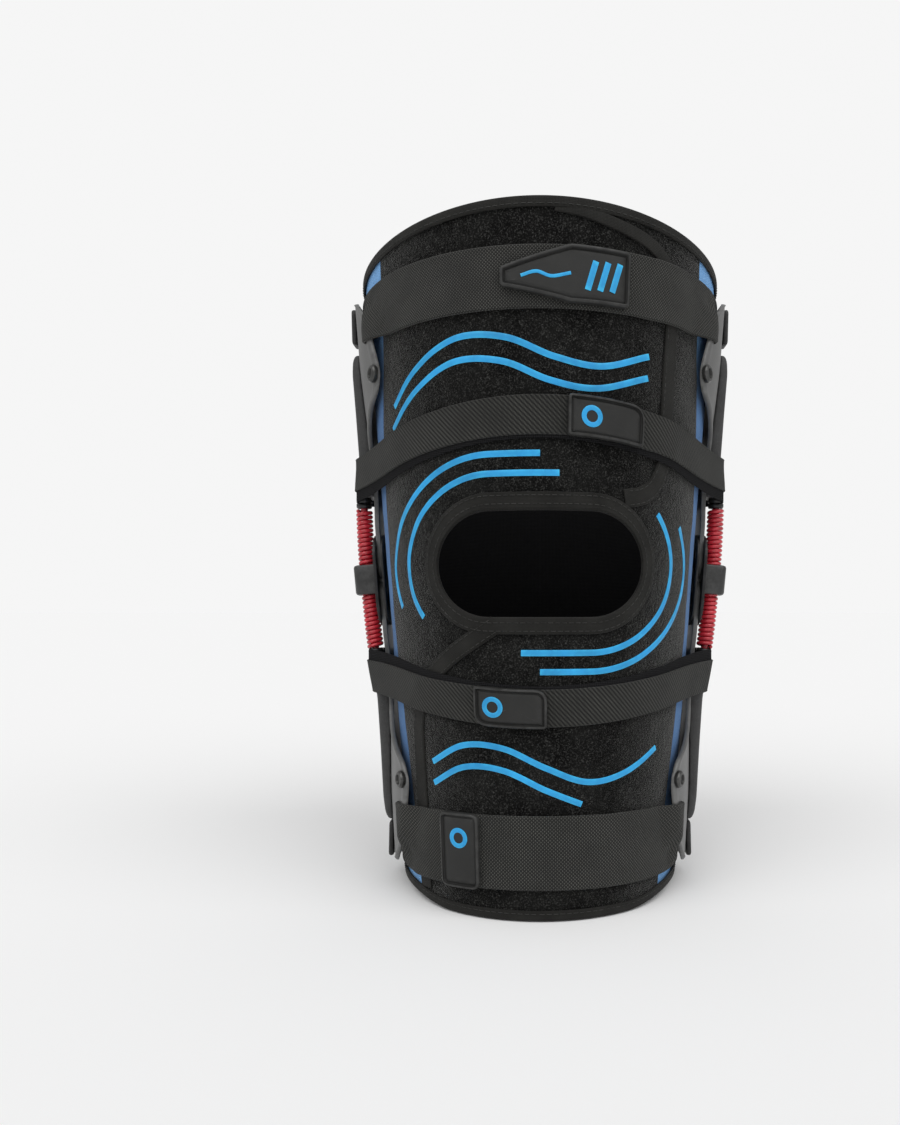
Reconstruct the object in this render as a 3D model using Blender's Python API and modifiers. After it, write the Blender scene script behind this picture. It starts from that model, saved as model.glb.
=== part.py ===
"""Hinged knee brace, upright on its hem.

Metres, +Z up, front towards -Y, origin at the middle of the hem.
"""

from collections import namedtuple
from math import asin, atan2, cos, pi, radians, sin, sqrt

import bmesh
import bpy
from mathutils import Matrix, Vector

# Sleeve
SLEEVE_HEIGHT = 0.299
THIGH_RADIUS = 0.0875
CALF_RADIUS = 0.0662
SLEEVE_WALL = 0.004
RIM_DIP = 0.0085
HEM_RISE = 0.0042
HEM_FLAT_ANGLE = radians(35)
SIDE_PANEL_HALF_ANGLE = radians(35)

# Bound edges and flat tape
TAPE_THICKNESS = 0.0008
RIM_BINDING_WIDTH = 0.0035
FLAP_TAPE_WIDTH = 0.008

# Kneecap opening, as seen from the front
OPENING_WIDTH = 0.090
OPENING_HEIGHT = 0.0465
OPENING_ABOVE_HINGE = 0.004
OPENING_BINDING_WIDTH = 0.006

# Straps
WEBBING_THICKNESS = 0.0015
WIDE_THIGH_WEBBING = 0.025
NARROW_WEBBING = 0.016
WIDE_CALF_WEBBING = 0.032
THIGH_STRAP_BELOW_RIM = 0.032
UPPER_STRAP_ABOVE_HINGE = 0.0645
LOWER_STRAP_BELOW_HINGE = 0.0565
CALF_STRAP_ABOVE_HEM = 0.0297
UPPER_STRAP_SLOPE = -0.0125
LOWER_STRAP_SLOPE = 0.0085
CALF_STRAP_SLOPE = -0.0025
TAB_THICKNESS = 0.0024

# Side frames and hinge
FRAME_THICKNESS = 0.0018
UPPER_WING_HALF_WIDTH = 0.056
LOWER_WING_HALF_WIDTH = 0.0465
TONGUE_HALF_WIDTH = 0.0085
UPPER_FRAME_BELOW_RIM = 0.016
LOWER_FRAME_ABOVE_HEM = 0.010
WING_STANDOFF = 0.0033
HINGE_MIDDLE = 0.148
PIN_SPACING = 0.0178
PIN_RADIUS = 0.0025
HINGE_COVER_HALF_WIDTH = 0.013
HINGE_COVER_HEIGHT = 0.046
HINGE_COVER_INNER = 0.0012
HINGE_COVER_OUTER = 0.0016

# Springs, ferrules and housings
ROD_RADIUS = 0.00175
ROD_STANDOFF = 0.0110
ROD_SHORT_OF_UPPER_HOUSING = 0.0185
ROD_SHORT_OF_LOWER_HOUSING = 0.027
COIL_RADIUS = 0.0042
COIL_WIRE = 0.0019
COIL_BELOW_HINGE = 0.0345
COIL_ABOVE_HINGE = 0.036
COIL_TURNS = 30
FERRULE_RADIUS = 0.0039
FERRULE_LENGTH = 0.0045
CLAMP_HEIGHT = 0.015
CLAMP_WIDTH = 0.014
CLAMP_WALL = 0.0017
HOUSING_STANDOFF = 0.0101
HOUSING_WIDTH = 0.016
UPPER_HOUSING_BELOW_FRAME_END = 0.0225
LOWER_HOUSING_ABOVE_FRAME_END = 0.018
LUG_RADIUS = 0.004
LUG_HEIGHT = 0.0025
END_TAB_THICKNESS = 0.0024
END_TAB_WIDTH = 0.014
END_TAB_HEIGHT = 0.017

# Clearances: pieces that touch keep SEAT_GAP
SEAT_GAP = 0.0003

# Heights that follow the sizes above
OPENING_MIDDLE = HINGE_MIDDLE + OPENING_ABOVE_HINGE
UPPER_FRAME_TOP = SLEEVE_HEIGHT - UPPER_FRAME_BELOW_RIM
LOWER_FRAME_BOTTOM = LOWER_FRAME_ABOVE_HEM
UPPER_HOUSING_TOP = UPPER_FRAME_TOP - UPPER_HOUSING_BELOW_FRAME_END
LOWER_HOUSING_BOTTOM = LOWER_FRAME_BOTTOM + LOWER_HOUSING_ABOVE_FRAME_END
ROD_TOP = UPPER_HOUSING_TOP - ROD_SHORT_OF_UPPER_HOUSING
ROD_BOTTOM = LOWER_HOUSING_BOTTOM + ROD_SHORT_OF_LOWER_HOUSING
COIL_TOP = HINGE_MIDDLE + COIL_ABOVE_HINGE
COIL_BOTTOM = HINGE_MIDDLE - COIL_BELOW_HINGE

# Facets
FRONT_PANEL_COLUMNS = 18
BACK_PANEL_COLUMNS = 14
SIDE_PANEL_COLUMNS = 6
RING_STEPS = 32
STRAP_STEPS = 36
COIL_STEPS = 7
COIL_WIRE_SIDES = 5
ROD_STEPS = 16
ROD_SIDES = 8
ROUND_STEPS = 10

SleeveSection = namedtuple("SleeveSection", "height flare side_panel")
SLEEVE_SECTIONS = (
    SleeveSection(height=0.00, flare=0.00, side_panel=1.00),
    SleeveSection(height=0.12, flare=0.09, side_panel=0.92),
    SleeveSection(height=0.28, flare=0.23, side_panel=0.74),
    SleeveSection(height=0.43, flare=0.39, side_panel=0.63),
    SleeveSection(height=0.58, flare=0.55, side_panel=0.63),
    SleeveSection(height=0.72, flare=0.70, side_panel=0.74),
    SleeveSection(height=0.88, flare=0.87, side_panel=0.92),
    SleeveSection(height=1.00, flare=1.00, side_panel=0.98),
)

# A frame from its hinge pin outwards. Width, lift and seat are shares of the wing's half width and
# standoff, and of the hinge's inner cover, and bend is how far the frame follows the round leg
FrameSection = namedtuple("FrameSection", "reach width lift seat bend")
FRAME_SECTIONS = (
    FrameSection(reach=0.12, width=0.00, lift=0.00, seat=1.00, bend=0.00),
    FrameSection(reach=0.22, width=0.00, lift=0.05, seat=0.60, bend=0.10),
    FrameSection(reach=0.34, width=0.07, lift=0.15, seat=0.00, bend=0.35),
    FrameSection(reach=0.46, width=0.22, lift=0.40, seat=0.00, bend=0.80),
    FrameSection(reach=0.54, width=0.52, lift=0.60, seat=0.00, bend=1.00),
    FrameSection(reach=0.60, width=0.90, lift=0.75, seat=0.00, bend=1.00),
    FrameSection(reach=0.66, width=1.00, lift=0.88, seat=0.00, bend=1.00),
    FrameSection(reach=0.77, width=0.93, lift=1.00, seat=0.00, bend=1.00),
    FrameSection(reach=0.88, width=0.84, lift=1.00, seat=0.00, bend=1.00),
    FrameSection(reach=1.00, width=0.36, lift=1.00, seat=0.00, bend=1.00),
)

# The rod's distance from the sleeve, as a share of ROD_STANDOFF, along the rod from its lower end
RodSection = namedtuple("RodSection", "reach standoff")
ROD_SECTIONS = (
    RodSection(reach=0.00, standoff=0.65),
    RodSection(reach=0.17, standoff=0.66),
    RodSection(reach=0.28, standoff=0.86),
    RodSection(reach=0.39, standoff=0.95),
    RodSection(reach=0.55, standoff=1.00),
    RodSection(reach=0.68, standoff=0.94),
    RodSection(reach=0.78, standoff=0.80),
    RodSection(reach=0.87, standoff=0.67),
    RodSection(reach=1.00, standoff=0.65),
)

# A housing from its spring end to its free end
HousingSection = namedtuple("HousingSection", "reach depth width")
HOUSING_SECTIONS = (
    HousingSection(reach=0.00, depth=1.20, width=0.86),
    HousingSection(reach=0.07, depth=1.145, width=1.00),
    HousingSection(reach=0.26, depth=1.00, width=1.00),
    HousingSection(reach=0.84, depth=1.00, width=1.00),
    HousingSection(reach=0.95, depth=0.86, width=0.86),
    HousingSection(reach=1.00, depth=0.62, width=0.58),
)

# Flat tape along the wrap's edge: angle from the front, and height as a share of the sleeve's
TapePoint = namedtuple("TapePoint", "angle height")
UPPER_FLAP_ROUTE = (
    TapePoint(angle=radians(11.0), height=0.967),
    TapePoint(angle=radians(18.5), height=0.966),
    TapePoint(angle=radians(25.5), height=0.962),
    TapePoint(angle=radians(32.0), height=0.954),
    TapePoint(angle=radians(37.5), height=0.940),
    TapePoint(angle=radians(41.0), height=0.920),
    TapePoint(angle=radians(42.3), height=0.890),
    TapePoint(angle=radians(42.3), height=0.780),
    TapePoint(angle=radians(42.3), height=0.670),
    TapePoint(angle=radians(40.6), height=0.643),
    TapePoint(angle=radians(36.0), height=0.6265),
    TapePoint(angle=radians(30.0), height=0.6225),
)
LOWER_FLAP_ROUTE = (
    TapePoint(angle=radians(-25.0), height=0.396),
    TapePoint(angle=radians(-31.0), height=0.382),
    TapePoint(angle=radians(-36.5), height=0.364),
    TapePoint(angle=radians(-41.0), height=0.344),
    TapePoint(angle=radians(-45.0), height=0.318),
    TapePoint(angle=radians(-47.6), height=0.288),
    TapePoint(angle=radians(-48.4), height=0.250),
    TapePoint(angle=radians(-48.4), height=0.130),
    TapePoint(angle=radians(-48.4), height=0.024),
)

# How far a strap's sides lie above its front is its slope
Strap = namedtuple("Strap", "name height width slope over_housings flap_route")
STRAPS = (
    Strap(
        name="thigh_strap",
        height=SLEEVE_HEIGHT - THIGH_STRAP_BELOW_RIM,
        width=WIDE_THIGH_WEBBING,
        slope=0.0,
        over_housings=False,
        flap_route=UPPER_FLAP_ROUTE,
    ),
    Strap(
        name="upper_knee_strap",
        height=HINGE_MIDDLE + UPPER_STRAP_ABOVE_HINGE,
        width=NARROW_WEBBING,
        slope=UPPER_STRAP_SLOPE,
        over_housings=True,
        flap_route=UPPER_FLAP_ROUTE,
    ),
    Strap(
        name="lower_knee_strap",
        height=HINGE_MIDDLE - LOWER_STRAP_BELOW_HINGE,
        width=NARROW_WEBBING,
        slope=LOWER_STRAP_SLOPE,
        over_housings=True,
        flap_route=LOWER_FLAP_ROUTE,
    ),
    Strap(
        name="calf_strap",
        height=CALF_STRAP_ABOVE_HEM,
        width=WIDE_CALF_WEBBING,
        slope=CALF_STRAP_SLOPE,
        over_housings=False,
        flap_route=LOWER_FLAP_ROUTE,
    ),
)

# Outlines of the rubber pieces along their straps: across is an angle from the front, and low and high are
# shares of the strap's half width
TabSection = namedtuple("TabSection", "across low high")
THIGH_BADGE = (
    TabSection(across=radians(-10.6), low=-0.28, high=0.22),
    TabSection(across=radians(-10.0), low=-0.34, high=0.28),
    TabSection(across=radians(-1.0), low=-0.60, high=0.62),
    TabSection(across=radians(8.0), low=-0.86, high=0.96),
    TabSection(across=radians(17.0), low=-0.88, high=0.93),
    TabSection(across=radians(23.8), low=-0.86, high=0.88),
    TabSection(across=radians(24.6), low=-0.74, high=0.76),
)
UPPER_KNEE_TAB = (
    TabSection(across=radians(7.8), low=-0.70, high=1.00),
    TabSection(across=radians(9.0), low=-0.96, high=1.05),
    TabSection(across=radians(15.0), low=-1.06, high=1.05),
    TabSection(across=radians(22.0), low=-1.06, high=1.04),
    TabSection(across=radians(27.5), low=-1.06, high=1.00),
    TabSection(across=radians(30.0), low=-1.06, high=0.80),
    TabSection(across=radians(31.2), low=-1.00, high=0.30),
)
LOWER_KNEE_TAB = (
    TabSection(across=radians(-21.8), low=-0.30, high=1.00),
    TabSection(across=radians(-20.6), low=-0.80, high=1.05),
    TabSection(across=radians(-17.0), low=-1.02, high=1.05),
    TabSection(across=radians(-9.0), low=-1.05, high=1.05),
    TabSection(across=radians(-2.0), low=-1.05, high=1.02),
    TabSection(across=radians(1.2), low=-1.04, high=0.86),
    TabSection(across=radians(2.3), low=-0.96, high=0.40),
)
CALF_TAB = (
    TabSection(across=radians(-37.4), low=-0.84, high=0.86),
    TabSection(across=radians(-36.2), low=-0.96, high=0.98),
    TabSection(across=radians(-32.0), low=-1.02, high=1.03),
    TabSection(across=radians(-26.5), low=-1.02, high=1.03),
    TabSection(across=radians(-22.6), low=-0.96, high=0.97),
    TabSection(across=radians(-21.4), low=-0.82, high=0.84),
)

# A tape that crosses a strap on a slant takes up to this share of its width on each side of its middle
SLANTED_TAPE_SHARE = 0.7
# Points on a housing's rounded corner that a strap may rest on, as shares of a quarter turn
HOUSING_CORNER_TURNS = (0.1, 0.5, 0.9)
# How far a rounded corner's middle lies inside its square, as a share of the corner
CORNER_CUT = 0.3
# Lines along a frame, from its back edge to its front one, as shares of its half width
FRAME_COLUMNS = (-1.0, -0.6, -0.2, 0.2, 0.6, 1.0)

# A lug's place along its frame, as a share of the way from the hinge pin to the frame's end
LUG_REACH = 0.65

SIDES = (("left", -1), ("right", 1))

PLUSH = ("plush", (0.013, 0.013, 0.012), 0.95, 0.0)
BLUE_CLOTH = ("blue_cloth", (0.26, 0.50, 0.93), 0.80, 0.0)
TAPE = ("binding_tape", (0.018, 0.018, 0.016), 0.70, 0.0)
WEBBING = ("webbing", (0.045, 0.045, 0.040), 0.85, 0.0)
RUBBER = ("tab_rubber", (0.060, 0.060, 0.058), 0.50, 0.0)
FRAME_GREY = ("frame_grey", (0.20, 0.20, 0.195), 0.40, 0.0)
HOUSING_GREY = ("housing_grey", (0.065, 0.065, 0.064), 0.55, 0.0)
HINGE_GREY = ("hinge_grey", (0.050, 0.050, 0.049), 0.40, 0.2)
SPRING_RED = ("spring_red", (0.52, 0.035, 0.045), 0.30, 0.3)
FERRULE_BLACK = ("ferrule_black", (0.010, 0.010, 0.010), 0.40, 0.0)
LUG_METAL = ("lug_metal", (0.28, 0.28, 0.27), 0.30, 0.8)


def clear_scene():
    for obj in list(bpy.data.objects):
        bpy.data.objects.remove(obj, do_unlink=True)


def new_collection(name, is_helper=False):
    collection = bpy.data.collections.new(name)
    bpy.context.scene.collection.children.link(collection)
    collection.hide_render = is_helper
    return collection


def material_of(finish):
    name, colour, roughness, metallic = finish
    material = bpy.data.materials.get(name) or bpy.data.materials.new(name)
    material.use_nodes = True
    shader = material.node_tree.nodes["Principled BSDF"]
    shader.inputs["Base Color"].default_value = (*colour, 1.0)
    shader.inputs["Roughness"].default_value = roughness
    shader.inputs["Metallic"].default_value = metallic
    return material


def add_piece(name, mesh, finish):
    """An object for a piece of the brace, shaded smooth except at its sharp edges."""
    piece = bpy.data.objects.new(name, mesh)
    mesh.materials.clear()
    mesh.materials.append(material_of(finish))
    mesh.shade_smooth()
    mesh.set_sharp_from_angle(angle=radians(35))
    bpy.data.collections["hinged_knee_brace"].objects.link(piece)
    return piece


def add_cutter(name, mesh):
    cutter = bpy.data.objects.new(name, mesh)
    cutter.display_type = "WIRE"
    cutter.hide_render = True
    bpy.data.collections["cutters"].objects.link(cutter)
    return cutter


def cut(piece, cutter):
    difference = piece.modifiers.new("cut_" + cutter.name, "BOOLEAN")
    difference.operation = "DIFFERENCE"
    difference.object = cutter


def read_table(rows, column, share, field):
    """The value of one field at a share of another, along straight lines between the rows."""
    below = rows[0]
    for above in rows[1:]:
        start, end = getattr(below, column), getattr(above, column)
        if share <= end or above is rows[-1]:
            part = min(max((share - start) / (end - start), 0.0), 1.0)
            return getattr(below, field) * (1 - part) + getattr(above, field) * part
        below = above
    return getattr(below, field)


def ease(value):
    value = min(max(value, 0.0), 1.0)
    return value * value * (3 - 2 * value)


def sideways(angle):
    """0 on the hem's flat stretches at the front and the back, where it rests, and 1 at the two sides."""
    flat = sin(HEM_FLAT_ANGLE)
    return ease((abs(sin(angle)) - flat) / (1 - flat))


def sleeve_radius(height):
    flare = read_table(SLEEVE_SECTIONS, "height", height / SLEEVE_HEIGHT, "flare")
    return CALF_RADIUS + (THIGH_RADIUS - CALF_RADIUS) * flare


def hem_height(angle):
    return SEAT_GAP + TAPE_THICKNESS + HEM_RISE * sideways(angle)


def rim_height(angle):
    return SLEEVE_HEIGHT - SEAT_GAP - TAPE_THICKNESS - RIM_DIP * sin(angle) ** 2


def polar(angle, radius, height):
    """A point at an angle from the front, counted towards +X."""
    return Vector((radius * sin(angle), -radius * cos(angle), height))


def surface_mesh(name, columns, closed=False):
    """An open surface through columns of points; closed joins the last column to the first."""
    mesh = bpy.data.meshes.new(name)
    shape = bmesh.new()
    rows = [[shape.verts.new(point) for point in column] for column in columns]
    pairs = list(zip(rows, rows[1:])) + ([(rows[-1], rows[0])] if closed else [])
    for first, second in pairs:
        for low in range(len(first) - 1):
            shape.faces.new((first[low], second[low], second[low + 1], first[low + 1]))
    shape.to_mesh(mesh)
    shape.free()
    return mesh


def wall_mesh(name, outer_columns, inner_columns):
    """A wall between two surfaces of as many points each, with straight rims all round."""
    mesh = bpy.data.meshes.new(name)
    shape = bmesh.new()
    outer = [[shape.verts.new(point) for point in column] for column in outer_columns]
    inner = [[shape.verts.new(point) for point in column] for column in inner_columns]
    last = len(outer[0]) - 1
    for side in range(len(outer) - 1):
        for low in range(last):
            for face in (outer, inner):
                near, far = face[side], face[side + 1]
                shape.faces.new((near[low], far[low], far[low + 1], near[low + 1]))
        for row in (0, last):
            near, far = side, side + 1
            shape.faces.new((outer[near][row], inner[near][row], inner[far][row], outer[far][row]))
    for side in (0, -1):
        over, under = outer[side], inner[side]
        for low in range(last):
            shape.faces.new((over[low], over[low + 1], under[low + 1], under[low]))
    bmesh.ops.recalc_face_normals(shape, faces=shape.faces)
    shape.to_mesh(mesh)
    shape.free()
    return mesh


def thicken(piece, thickness, outwards):
    """The surface's faces look away from the leg, so 1 thickens away from it and -1 towards it."""
    wall = piece.modifiers.new("wall", "SOLIDIFY")
    wall.thickness = thickness
    wall.offset = outwards
    wall.use_even_offset = True


def loft_mesh(name, sections, closed):
    """A solid through closed sections of as many points each: a closed ring, or one with end caps."""
    mesh = bpy.data.meshes.new(name)
    shape = bmesh.new()
    rings = [[shape.verts.new(point) for point in section] for section in sections]
    pairs = list(zip(rings, rings[1:])) + ([(rings[-1], rings[0])] if closed else [])
    for first, second in pairs:
        count = len(first)
        for index in range(count):
            after = (index + 1) % count
            shape.faces.new((first[index], first[after], second[after], second[index]))
    if not closed:
        shape.faces.new(list(reversed(rings[0])))
        shape.faces.new(rings[-1])
    bmesh.ops.recalc_face_normals(shape, faces=shape.faces)
    shape.to_mesh(mesh)
    shape.free()
    return mesh


def cylinder_mesh(name, radius, length, steps=ROUND_STEPS):
    """A cylinder along Z, centred on its own origin."""
    mesh = bpy.data.meshes.new(name)
    shape = bmesh.new()
    bmesh.ops.create_cone(
        shape, cap_ends=True, segments=steps, radius1=radius, radius2=radius, depth=length
    )
    shape.to_mesh(mesh)
    shape.free()
    return mesh


def block_mesh(name, size):
    mesh = bpy.data.meshes.new(name)
    shape = bmesh.new()
    bmesh.ops.create_cube(shape, size=1.0, matrix=Matrix.Diagonal((*size, 1.0)))
    shape.to_mesh(mesh)
    shape.free()
    return mesh


def wire_guide(name, points, dimensions, closed):
    """A curve through points, only used to make a mesh."""
    curve = bpy.data.curves.new(name + "_wire", "CURVE")
    curve.dimensions = dimensions
    spline = curve.splines.new("POLY")
    spline.points.add(len(points) - 1)
    for place, point in zip(spline.points, points):
        place.co = (*point, 1.0)
    spline.use_cyclic_u = closed
    guide = bpy.data.objects.new(name + "_guide", curve)
    bpy.context.scene.collection.objects.link(guide)
    return guide


def mesh_of(guide, name):
    """The guide's evaluated mesh, with its loose caps welded on. The guide is removed."""
    graph = bpy.context.evaluated_depsgraph_get()
    mesh = bpy.data.meshes.new_from_object(guide.evaluated_get(graph))
    bpy.data.objects.remove(guide, do_unlink=True)
    mesh.name = name
    shape = bmesh.new()
    shape.from_mesh(mesh)
    bmesh.ops.remove_doubles(shape, verts=shape.verts, dist=1e-6)
    bmesh.ops.recalc_face_normals(shape, faces=shape.faces)
    shape.to_mesh(mesh)
    shape.free()
    return mesh


def tube_mesh(name, points, radius, sides):
    """A wire of a few sides through points, with filled ends."""
    turns = [2 * pi * side / sides for side in range(sides)]
    ring = [(radius * cos(turn), radius * sin(turn), 0.0) for turn in turns]
    section = wire_guide(name + "_section", ring, "2D", closed=True)
    guide = wire_guide(name, points, "3D", closed=False)
    guide.data.bevel_mode = "OBJECT"
    guide.data.bevel_object = section
    guide.data.use_fill_caps = True
    mesh = mesh_of(guide, name)
    bpy.data.objects.remove(section, do_unlink=True)
    return mesh


def outline_mesh(name, outline, thickness):
    """A flat outline in the brace's y and z, thickness deep along x and centred on x = 0."""
    guide = wire_guide(name, [(across, along, 0.0) for across, along in outline], "2D", closed=True)
    guide.data.fill_mode = "BOTH"
    guide.data.extrude = thickness / 2
    mesh = mesh_of(guide, name)
    mesh.transform(Matrix(((0, 0, 1, 0), (1, 0, 0, 0), (0, 1, 0, 0), (0, 0, 0, 1))))
    return mesh


def panel_edge(side, front, height_share, gap):
    """The angle of a panel's long edge: front or back edge of one side's blue panel, moved by a gap."""
    share = read_table(SLEEVE_SECTIONS, "height", height_share, "side_panel")
    half = SIDE_PANEL_HALF_ANGLE * share
    radius = sleeve_radius(height_share * SLEEVE_HEIGHT)
    from_middle = half + gap / radius
    return side * (pi / 2 - from_middle if front else pi / 2 + from_middle)


def add_panel(name, edge_angles, column_count, finish):
    """A curved wall panel between two edges, which edge_angles gives at a share of the height."""
    outer_columns, inner_columns = [], []
    for column in range(column_count + 1):
        across = column / column_count
        outer, inner = [], []
        for section in SLEEVE_SECTIONS:
            start, end = edge_angles(section.height)
            angle = start + (end - start) * across
            bottom, top = hem_height(angle), rim_height(angle)
            height = bottom + (top - bottom) * section.height
            outer.append(polar(angle, sleeve_radius(height), height))
            inner.append(polar(angle, sleeve_radius(height) - SLEEVE_WALL, height))
        outer_columns.append(outer)
        inner_columns.append(inner)
    return add_piece(name, wall_mesh(name, outer_columns, inner_columns), finish)


def opening_outline(steps_per_corner=5):
    """Points and outward directions round the kneecap opening, seen from the front."""
    radius = OPENING_HEIGHT / 2
    run = OPENING_WIDTH / 2 - radius
    outline = []
    for centre, start in ((run, -pi / 2), (-run, pi / 2)):
        for step in range(2 * steps_per_corner + 1):
            turn = start + pi * step / (2 * steps_per_corner)
            direction = Vector((cos(turn), 0.0, sin(turn)))
            point = Vector((centre, 0.0, OPENING_MIDDLE)) + radius * direction
            outline.append((point, direction))
    straight = []
    for index, (point, direction) in enumerate(outline):
        straight.append((point, direction))
        after, _ = outline[(index + 1) % len(outline)]
        if abs(after.x - point.x) > radius:
            for part in (0.25, 0.5, 0.75):
                straight.append((point.lerp(after, part), direction))
    return straight


def cut_opening(panel):
    curve_points = [(point.x, point.z) for point, _ in opening_outline()]
    mesh = outline_mesh("kneecap_opening", curve_points, THIGH_RADIUS)
    # The outline's own x is the brace's y, so a quarter turn brings the prism to face the front.
    cutter = add_cutter("kneecap_opening", mesh)
    cutter.rotation_euler = (0.0, 0.0, -pi / 2)
    cutter.location = (0.0, -THIGH_RADIUS, 0.0)
    cut(panel, cutter)


def add_front_and_back():
    def front_edges(share):
        return panel_edge(-1, True, share, SEAT_GAP / 2), panel_edge(1, True, share, SEAT_GAP / 2)

    def back_edges(share):
        last = 2 * pi + panel_edge(-1, False, share, SEAT_GAP / 2)
        return panel_edge(1, False, share, SEAT_GAP / 2), last

    front = add_panel("front_panel", front_edges, FRONT_PANEL_COLUMNS, PLUSH)
    cut_opening(front)
    add_panel("back_panel", back_edges, BACK_PANEL_COLUMNS, PLUSH)


def add_side_panels():
    for side_name, side in SIDES:

        def edges(share, side=side):
            first = panel_edge(side, side > 0, share, -SEAT_GAP / 2)
            return first, panel_edge(side, side < 0, share, -SEAT_GAP / 2)

        add_panel("side_panel_" + side_name, edges, SIDE_PANEL_COLUMNS, BLUE_CLOTH)


def folded_tape(outside, near, inside, edge_point, outer_width, inner_width):
    """One section of tape folded over an edge: a U whose legs lie outside and inside the wall."""
    outer_leg, inner_leg = outside + TAPE_THICKNESS, inside - TAPE_THICKNESS
    return [
        edge_point(outer_width, outside),
        edge_point(outer_width, outer_leg),
        edge_point(-near - TAPE_THICKNESS, outer_leg),
        edge_point(-near - TAPE_THICKNESS, inner_leg),
        edge_point(inner_width, inner_leg),
        edge_point(inner_width, inside),
        edge_point(-near, inside),
        edge_point(-near, outside),
    ]


def add_edge_bindings():
    """Tape folded over the rim and over the hem. Its outer leg's corners clear the round wall."""
    reach_out = 1 / cos(pi / RING_STEPS)
    for name, edge_height, inward in (("top_binding", rim_height, -1), ("hem_binding", hem_height, 1)):
        sections = []
        for step in range(RING_STEPS):
            angle = 2 * pi * step / RING_STEPS
            edge = edge_height(angle)

            def edge_point(depth, out, angle=angle, edge=edge, inward=inward):
                height = edge + inward * depth
                radius = sleeve_radius(height) + out
                return polar(angle, radius * reach_out if out > 0 else radius, height)

            inside, width = -SLEEVE_WALL - SEAT_GAP, RIM_BINDING_WIDTH
            sections.append(folded_tape(SEAT_GAP, SEAT_GAP, inside, edge_point, width, width))
        add_piece(name, loft_mesh(name, sections, closed=True), TAPE)


def add_opening_binding():
    sections = []
    for point, direction in opening_outline():

        def edge_point(depth, out, point=point, direction=direction):
            steepness = abs(point.x) / sleeve_radius(point.z)
            across = point.x + direction.x * depth * cos(asin(steepness))
            height = point.z + direction.z * depth
            radius = sleeve_radius(height) + out
            return Vector((across, -sqrt(radius * radius - across * across), height))

        sections.append(
            folded_tape(
                SEAT_GAP,
                SEAT_GAP,
                -SLEEVE_WALL - SEAT_GAP,
                edge_point,
                OPENING_BINDING_WIDTH,
                OPENING_BINDING_WIDTH / 2,
            )
        )
    add_piece("opening_binding", loft_mesh("opening_binding", sections, closed=True), TAPE)


def add_flap_tape(name, route):
    """A flat strip along the wrap's edge, which follows the round wall."""
    centre = [polar(place.angle, 1.0, place.height * SLEEVE_HEIGHT) for place in route]
    spots = [
        Vector((place.angle * sleeve_radius(point.z), point.z)) for place, point in zip(route, centre)
    ]
    columns = []
    for index, spot in enumerate(spots):
        before, after = spots[max(index - 1, 0)], spots[min(index + 1, len(spots) - 1)]
        along = (after - before).normalized()
        across = Vector((-along.y, along.x)) * FLAP_TAPE_WIDTH / 2
        column = []
        for share in (-1, 0, 1):
            place = spot + across * share
            radius = sleeve_radius(place.y) + SEAT_GAP
            column.append(polar(place.x / sleeve_radius(place.y), radius, place.y))
        columns.append(column)
    piece = add_piece(name, surface_mesh(name, columns), TAPE)
    thicken(piece, TAPE_THICKNESS, 1)


def frame_inner(height, reach):
    """How far a frame's inner face stands from the axis at the side, at a height."""
    lift = read_table(FRAME_SECTIONS, "reach", reach, "lift")
    seat = read_table(FRAME_SECTIONS, "reach", reach, "seat")
    return sleeve_radius(height) + SEAT_GAP + WING_STANDOFF * lift + (HINGE_COVER_INNER + SEAT_GAP) * seat


def hinge_lean():
    """The hinge's stacked plates lean as the leg does: an angle from upright."""
    top, bottom = HINGE_MIDDLE + HINGE_COVER_HEIGHT / 2, HINGE_MIDDLE - HINGE_COVER_HEIGHT / 2
    return atan2(sleeve_radius(top) - sleeve_radius(bottom), HINGE_COVER_HEIGHT)


def hinge_faces():
    """How far the inner cover, the frames, the outer cover and its face are from the axis."""
    inner_cover = sleeve_radius(HINGE_MIDDLE) + SEAT_GAP
    frames = inner_cover + HINGE_COVER_INNER + SEAT_GAP
    outer_cover = frames + FRAME_THICKNESS + SEAT_GAP
    return inner_cover, frames, outer_cover, outer_cover + HINGE_COVER_OUTER


def hinge_place(side, height, distance):
    """A point of the leaning hinge stack: height is along the plates, and distance is across them."""
    along = height - HINGE_MIDDLE
    lean = hinge_lean()
    away = distance * cos(lean) + along * sin(lean)
    start = sleeve_radius(HINGE_MIDDLE)
    return Vector((side * (start + away), 0.0, HINGE_MIDDLE + along * cos(lean) - distance * sin(lean)))


def housing_corners(height):
    """A housing's outer face at a height: its distance from the axis, and half its width."""
    upper, lower = housing_ends()
    spring_end, free_end = upper if height > HINGE_MIDDLE else lower
    reach = min(max((height - spring_end) / (free_end - spring_end), 0.0), 1.0)
    depth = read_table(HOUSING_SECTIONS, "reach", reach, "depth")
    return sleeve_radius(height) + HOUSING_STANDOFF * depth, HOUSING_WIDTH / 2


def housing_ends():
    ferrule_run = FERRULE_LENGTH + 2 * SEAT_GAP
    upper_start = COIL_TOP + ferrule_run + FERRULE_RADIUS * abs(rod_direction(1, COIL_TOP).x)
    lower_start = COIL_BOTTOM - ferrule_run - FERRULE_RADIUS * abs(rod_direction(1, COIL_BOTTOM).x)
    return (upper_start, UPPER_HOUSING_TOP), (lower_start, LOWER_HOUSING_BOTTOM)


def strap_height(strap, angle, share):
    """Straps over the housings slope towards the knee at the sides, and stay level round the back."""
    shift = strap.slope * (sin(angle) ** 2 if abs(angle) < pi / 2 else 1.0)
    return strap.height + shift + share * strap.width / 2


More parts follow.
